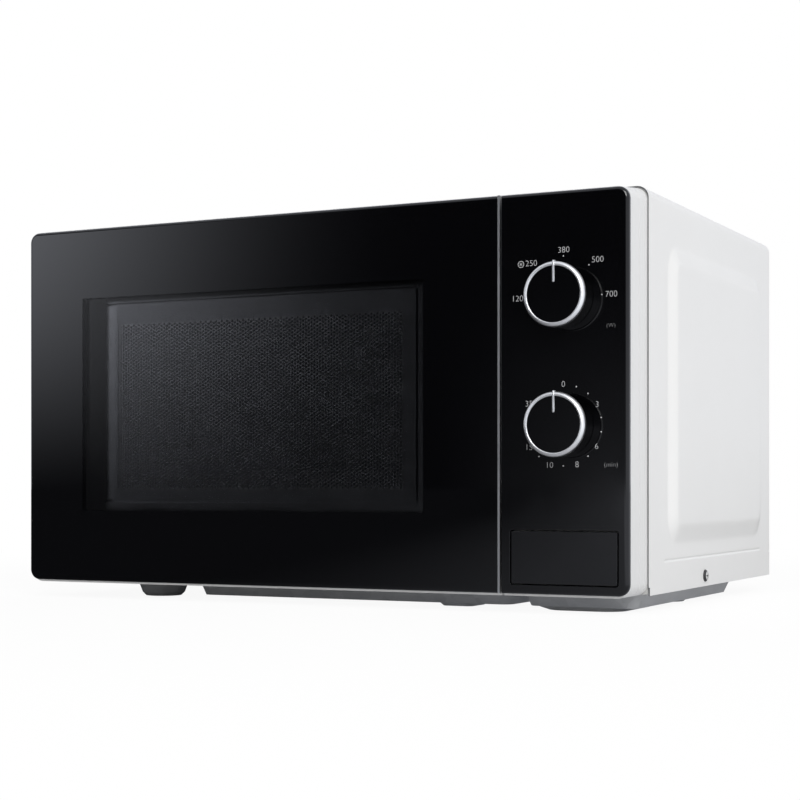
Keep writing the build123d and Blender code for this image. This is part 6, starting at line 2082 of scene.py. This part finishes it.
@dataclass
class Studio:
    """A pale floor, soft light and the camera."""

    camera_place: Point = (554.549, -1122.469, 78.22)
    camera_turn: float = 26.608
    lens: float = 77.84
    shift_up: float = 0.1066
    floor_half: float = 30.0
    ambient: float = 0.54
    key_place: Point = (3000.0, -4200.0, 3300.0)
    key_width: float = 3.2
    key_power: float = 244.0
    flag_level: float = 0.015
    surround_level: float = 0.85
    patch_level: float = 2.5
    glow_level: float = 0.2
    mirror_tint: Colour = (0.94, 0.97, 1.06)
    flag_left: Span = (-75.0, -52.0)  # degrees to the right of straight ahead, as the next ones
    flag_right: Span = (5.0, 40.0)
    patch_left: Span = (-60.0, -45.0)
    patch_right: Span = (-41.0, -22.0)
    glow_left: Span = (-26.0, -19.0)
    flag_top: Span = (24.0, 50.0)  # degrees above the horizon, as the next ones
    patch_bottom: Span = (-1.0, 9.5)
    patch_top: Span = (14.0, 26.0)
    glow_top: Span = (-1.0, 8.0)
    patch_fall: float = 3.0
    white_reach: Span = (0.35, 0.9)  # metres from the middle of the floor
    white_near: float = 0.93
    chalk: Colour = (0.95, 0.95, 0.95)
    mirror_slant: float = 0.365
    mirror_reach: Span = (-0.1, 0.75)  # metres to the right, along the slant
    mirror_dark: float = 0.05

    def build(self) -> None:
        """Set up the world, the floor, the lamp and the camera."""
        bpy.context.scene.view_settings.view_transform = "Standard"
        self.world()
        self.floor()
        self.lamp()
        self.camera()

    def world(self) -> None:
        """White behind the object, soft light round it, a dark flag before the front with one pale patch."""
        world = bpy.data.worlds.new("studio")
        world.use_nodes = True
        bpy.context.scene.world = world
        graph = Graph(world.node_tree)
        camera = graph.node("ShaderNodeLightPath", output="Is Camera Ray")
        glossy = camera.other("Is Glossy Ray")
        shown = camera.at_least(camera.other("Is Transmission Ray"))
        x, y, z = graph.split(graph.node("ShaderNodeTexCoord", output="Generated"))
        side = x.math("ARCTAN2", x, 0.0 - y) * (180.0 / math.pi)
        rise = z.math("ARCSINE", z) * (180.0 / math.pi)
        flag = side.eased(*self.flag_left) * (1.0 - side.eased(*self.flag_right))
        flag = flag * (1.0 - rise.eased(*self.flag_top))
        surround = self.surround_level + (self.flag_level - self.surround_level) * flag
        patch = (1.0 - side.eased(*self.patch_right)) ** self.patch_fall * side.eased(*self.patch_left)
        patch = patch * rise.eased(*self.patch_bottom) * (1.0 - rise.eased(*self.patch_top))
        patch = patch * self.patch_level
        glow = side.eased(*self.glow_left) * (1.0 - rise.eased(*self.glow_top)) * self.glow_level
        lit = glossy * (surround + patch + glow) + (1.0 - glossy) * self.ambient
        strength = shown + (1.0 - shown) * lit
        colour = graph.mix(glossy, (1.0, 1.0, 1.0), self.mirror_tint)
        background = graph.node("ShaderNodeBackground", None, {"Color": colour, "Strength": strength})
        graph.node("ShaderNodeOutputWorld", None, {"Surface": background})

    def floor(self) -> None:
        """A wide pale floor that keeps the object's shadow and runs out to white."""
        half = self.floor_half / MM
        corners = [(-half, -half, 0.0), (half, -half, 0.0), (half, half, 0.0), (-half, half, 0.0)]
        floor = new_object("floor", new_mesh("floor", corners, [(0, 1, 2, 3)]))
        shader = Shader("pale_floor")
        camera = shader.node("ShaderNodeLightPath", output="Is Camera Ray")
        glossy = camera.other("Is Glossy Ray")
        shown = camera.at_least(camera.other("Is Transmission Ray"))
        x, y, _ = shader.split(shader.place)
        far = ((x * x + y * y) ** 0.5).eased(*self.white_reach)
        right = (x - self.mirror_slant * y).eased(*self.mirror_reach)
        mirrored = self.mirror_dark + (1.0 - self.mirror_dark) * right
        white = shader.node("ShaderNodeEmission", None, {"Color": (1.0, 1.0, 1.0, 1.0), "Strength": 1.0})
        tint = {"Color": opaque(self.mirror_tint), "Strength": mirrored}
        seen = shader.node("ShaderNodeEmission", None, tint)
        chalk = shader.node("ShaderNodeBsdfDiffuse", None, {"Color": opaque(self.chalk)})
        bright = shown * (self.white_near + (1.0 - self.white_near) * far)
        lit = shader.node("ShaderNodeMixShader", None, {0: bright, 1: chalk, 2: white})
        shader.finish(shader.node("ShaderNodeMixShader", None, {0: glossy, 1: lit, 2: seen}))
        floor.data.materials.append(shader.material)

    def lamp(self) -> None:
        """One large soft lamp, high at the front right."""
        light = bpy.data.lights.new("key", "AREA")
        light.shape = "SQUARE"
        light.size = self.key_width
        light.energy = self.key_power
        holder = bpy.data.objects.new("key", light)
        bpy.context.scene.collection.objects.link(holder)
        holder.location = [MM * part for part in self.key_place]
        holder.rotation_euler = holder.location.to_track_quat("Z", "Y").to_euler()

    def camera(self) -> None:
        """The camera at the picture's viewing angle."""
        data = bpy.data.cameras.new("camera")
        data.lens = self.lens
        data.shift_y = self.shift_up
        holder = bpy.data.objects.new("camera", data)
        holder.location = [MM * part for part in self.camera_place]
        holder.rotation_euler = (math.pi / 2, 0.0, math.radians(self.camera_turn))
        bpy.context.scene.collection.objects.link(holder)
        bpy.context.scene.camera = holder


def main() -> None:
    """Build and dress the sub-assemblies in order."""
    logging.basicConfig(level=logging.INFO, format="%(message)s")
    for assembly in (OuterCase(), Door(), ControlPanel(), Springs(), OvenCavity(), PowerUnit()):
        LOG.info("sub-assembly %s", type(assembly).__name__)
        assembly.build()
        assembly.dress()
    Studio().build()


if __name__ == "__main__":
    main()
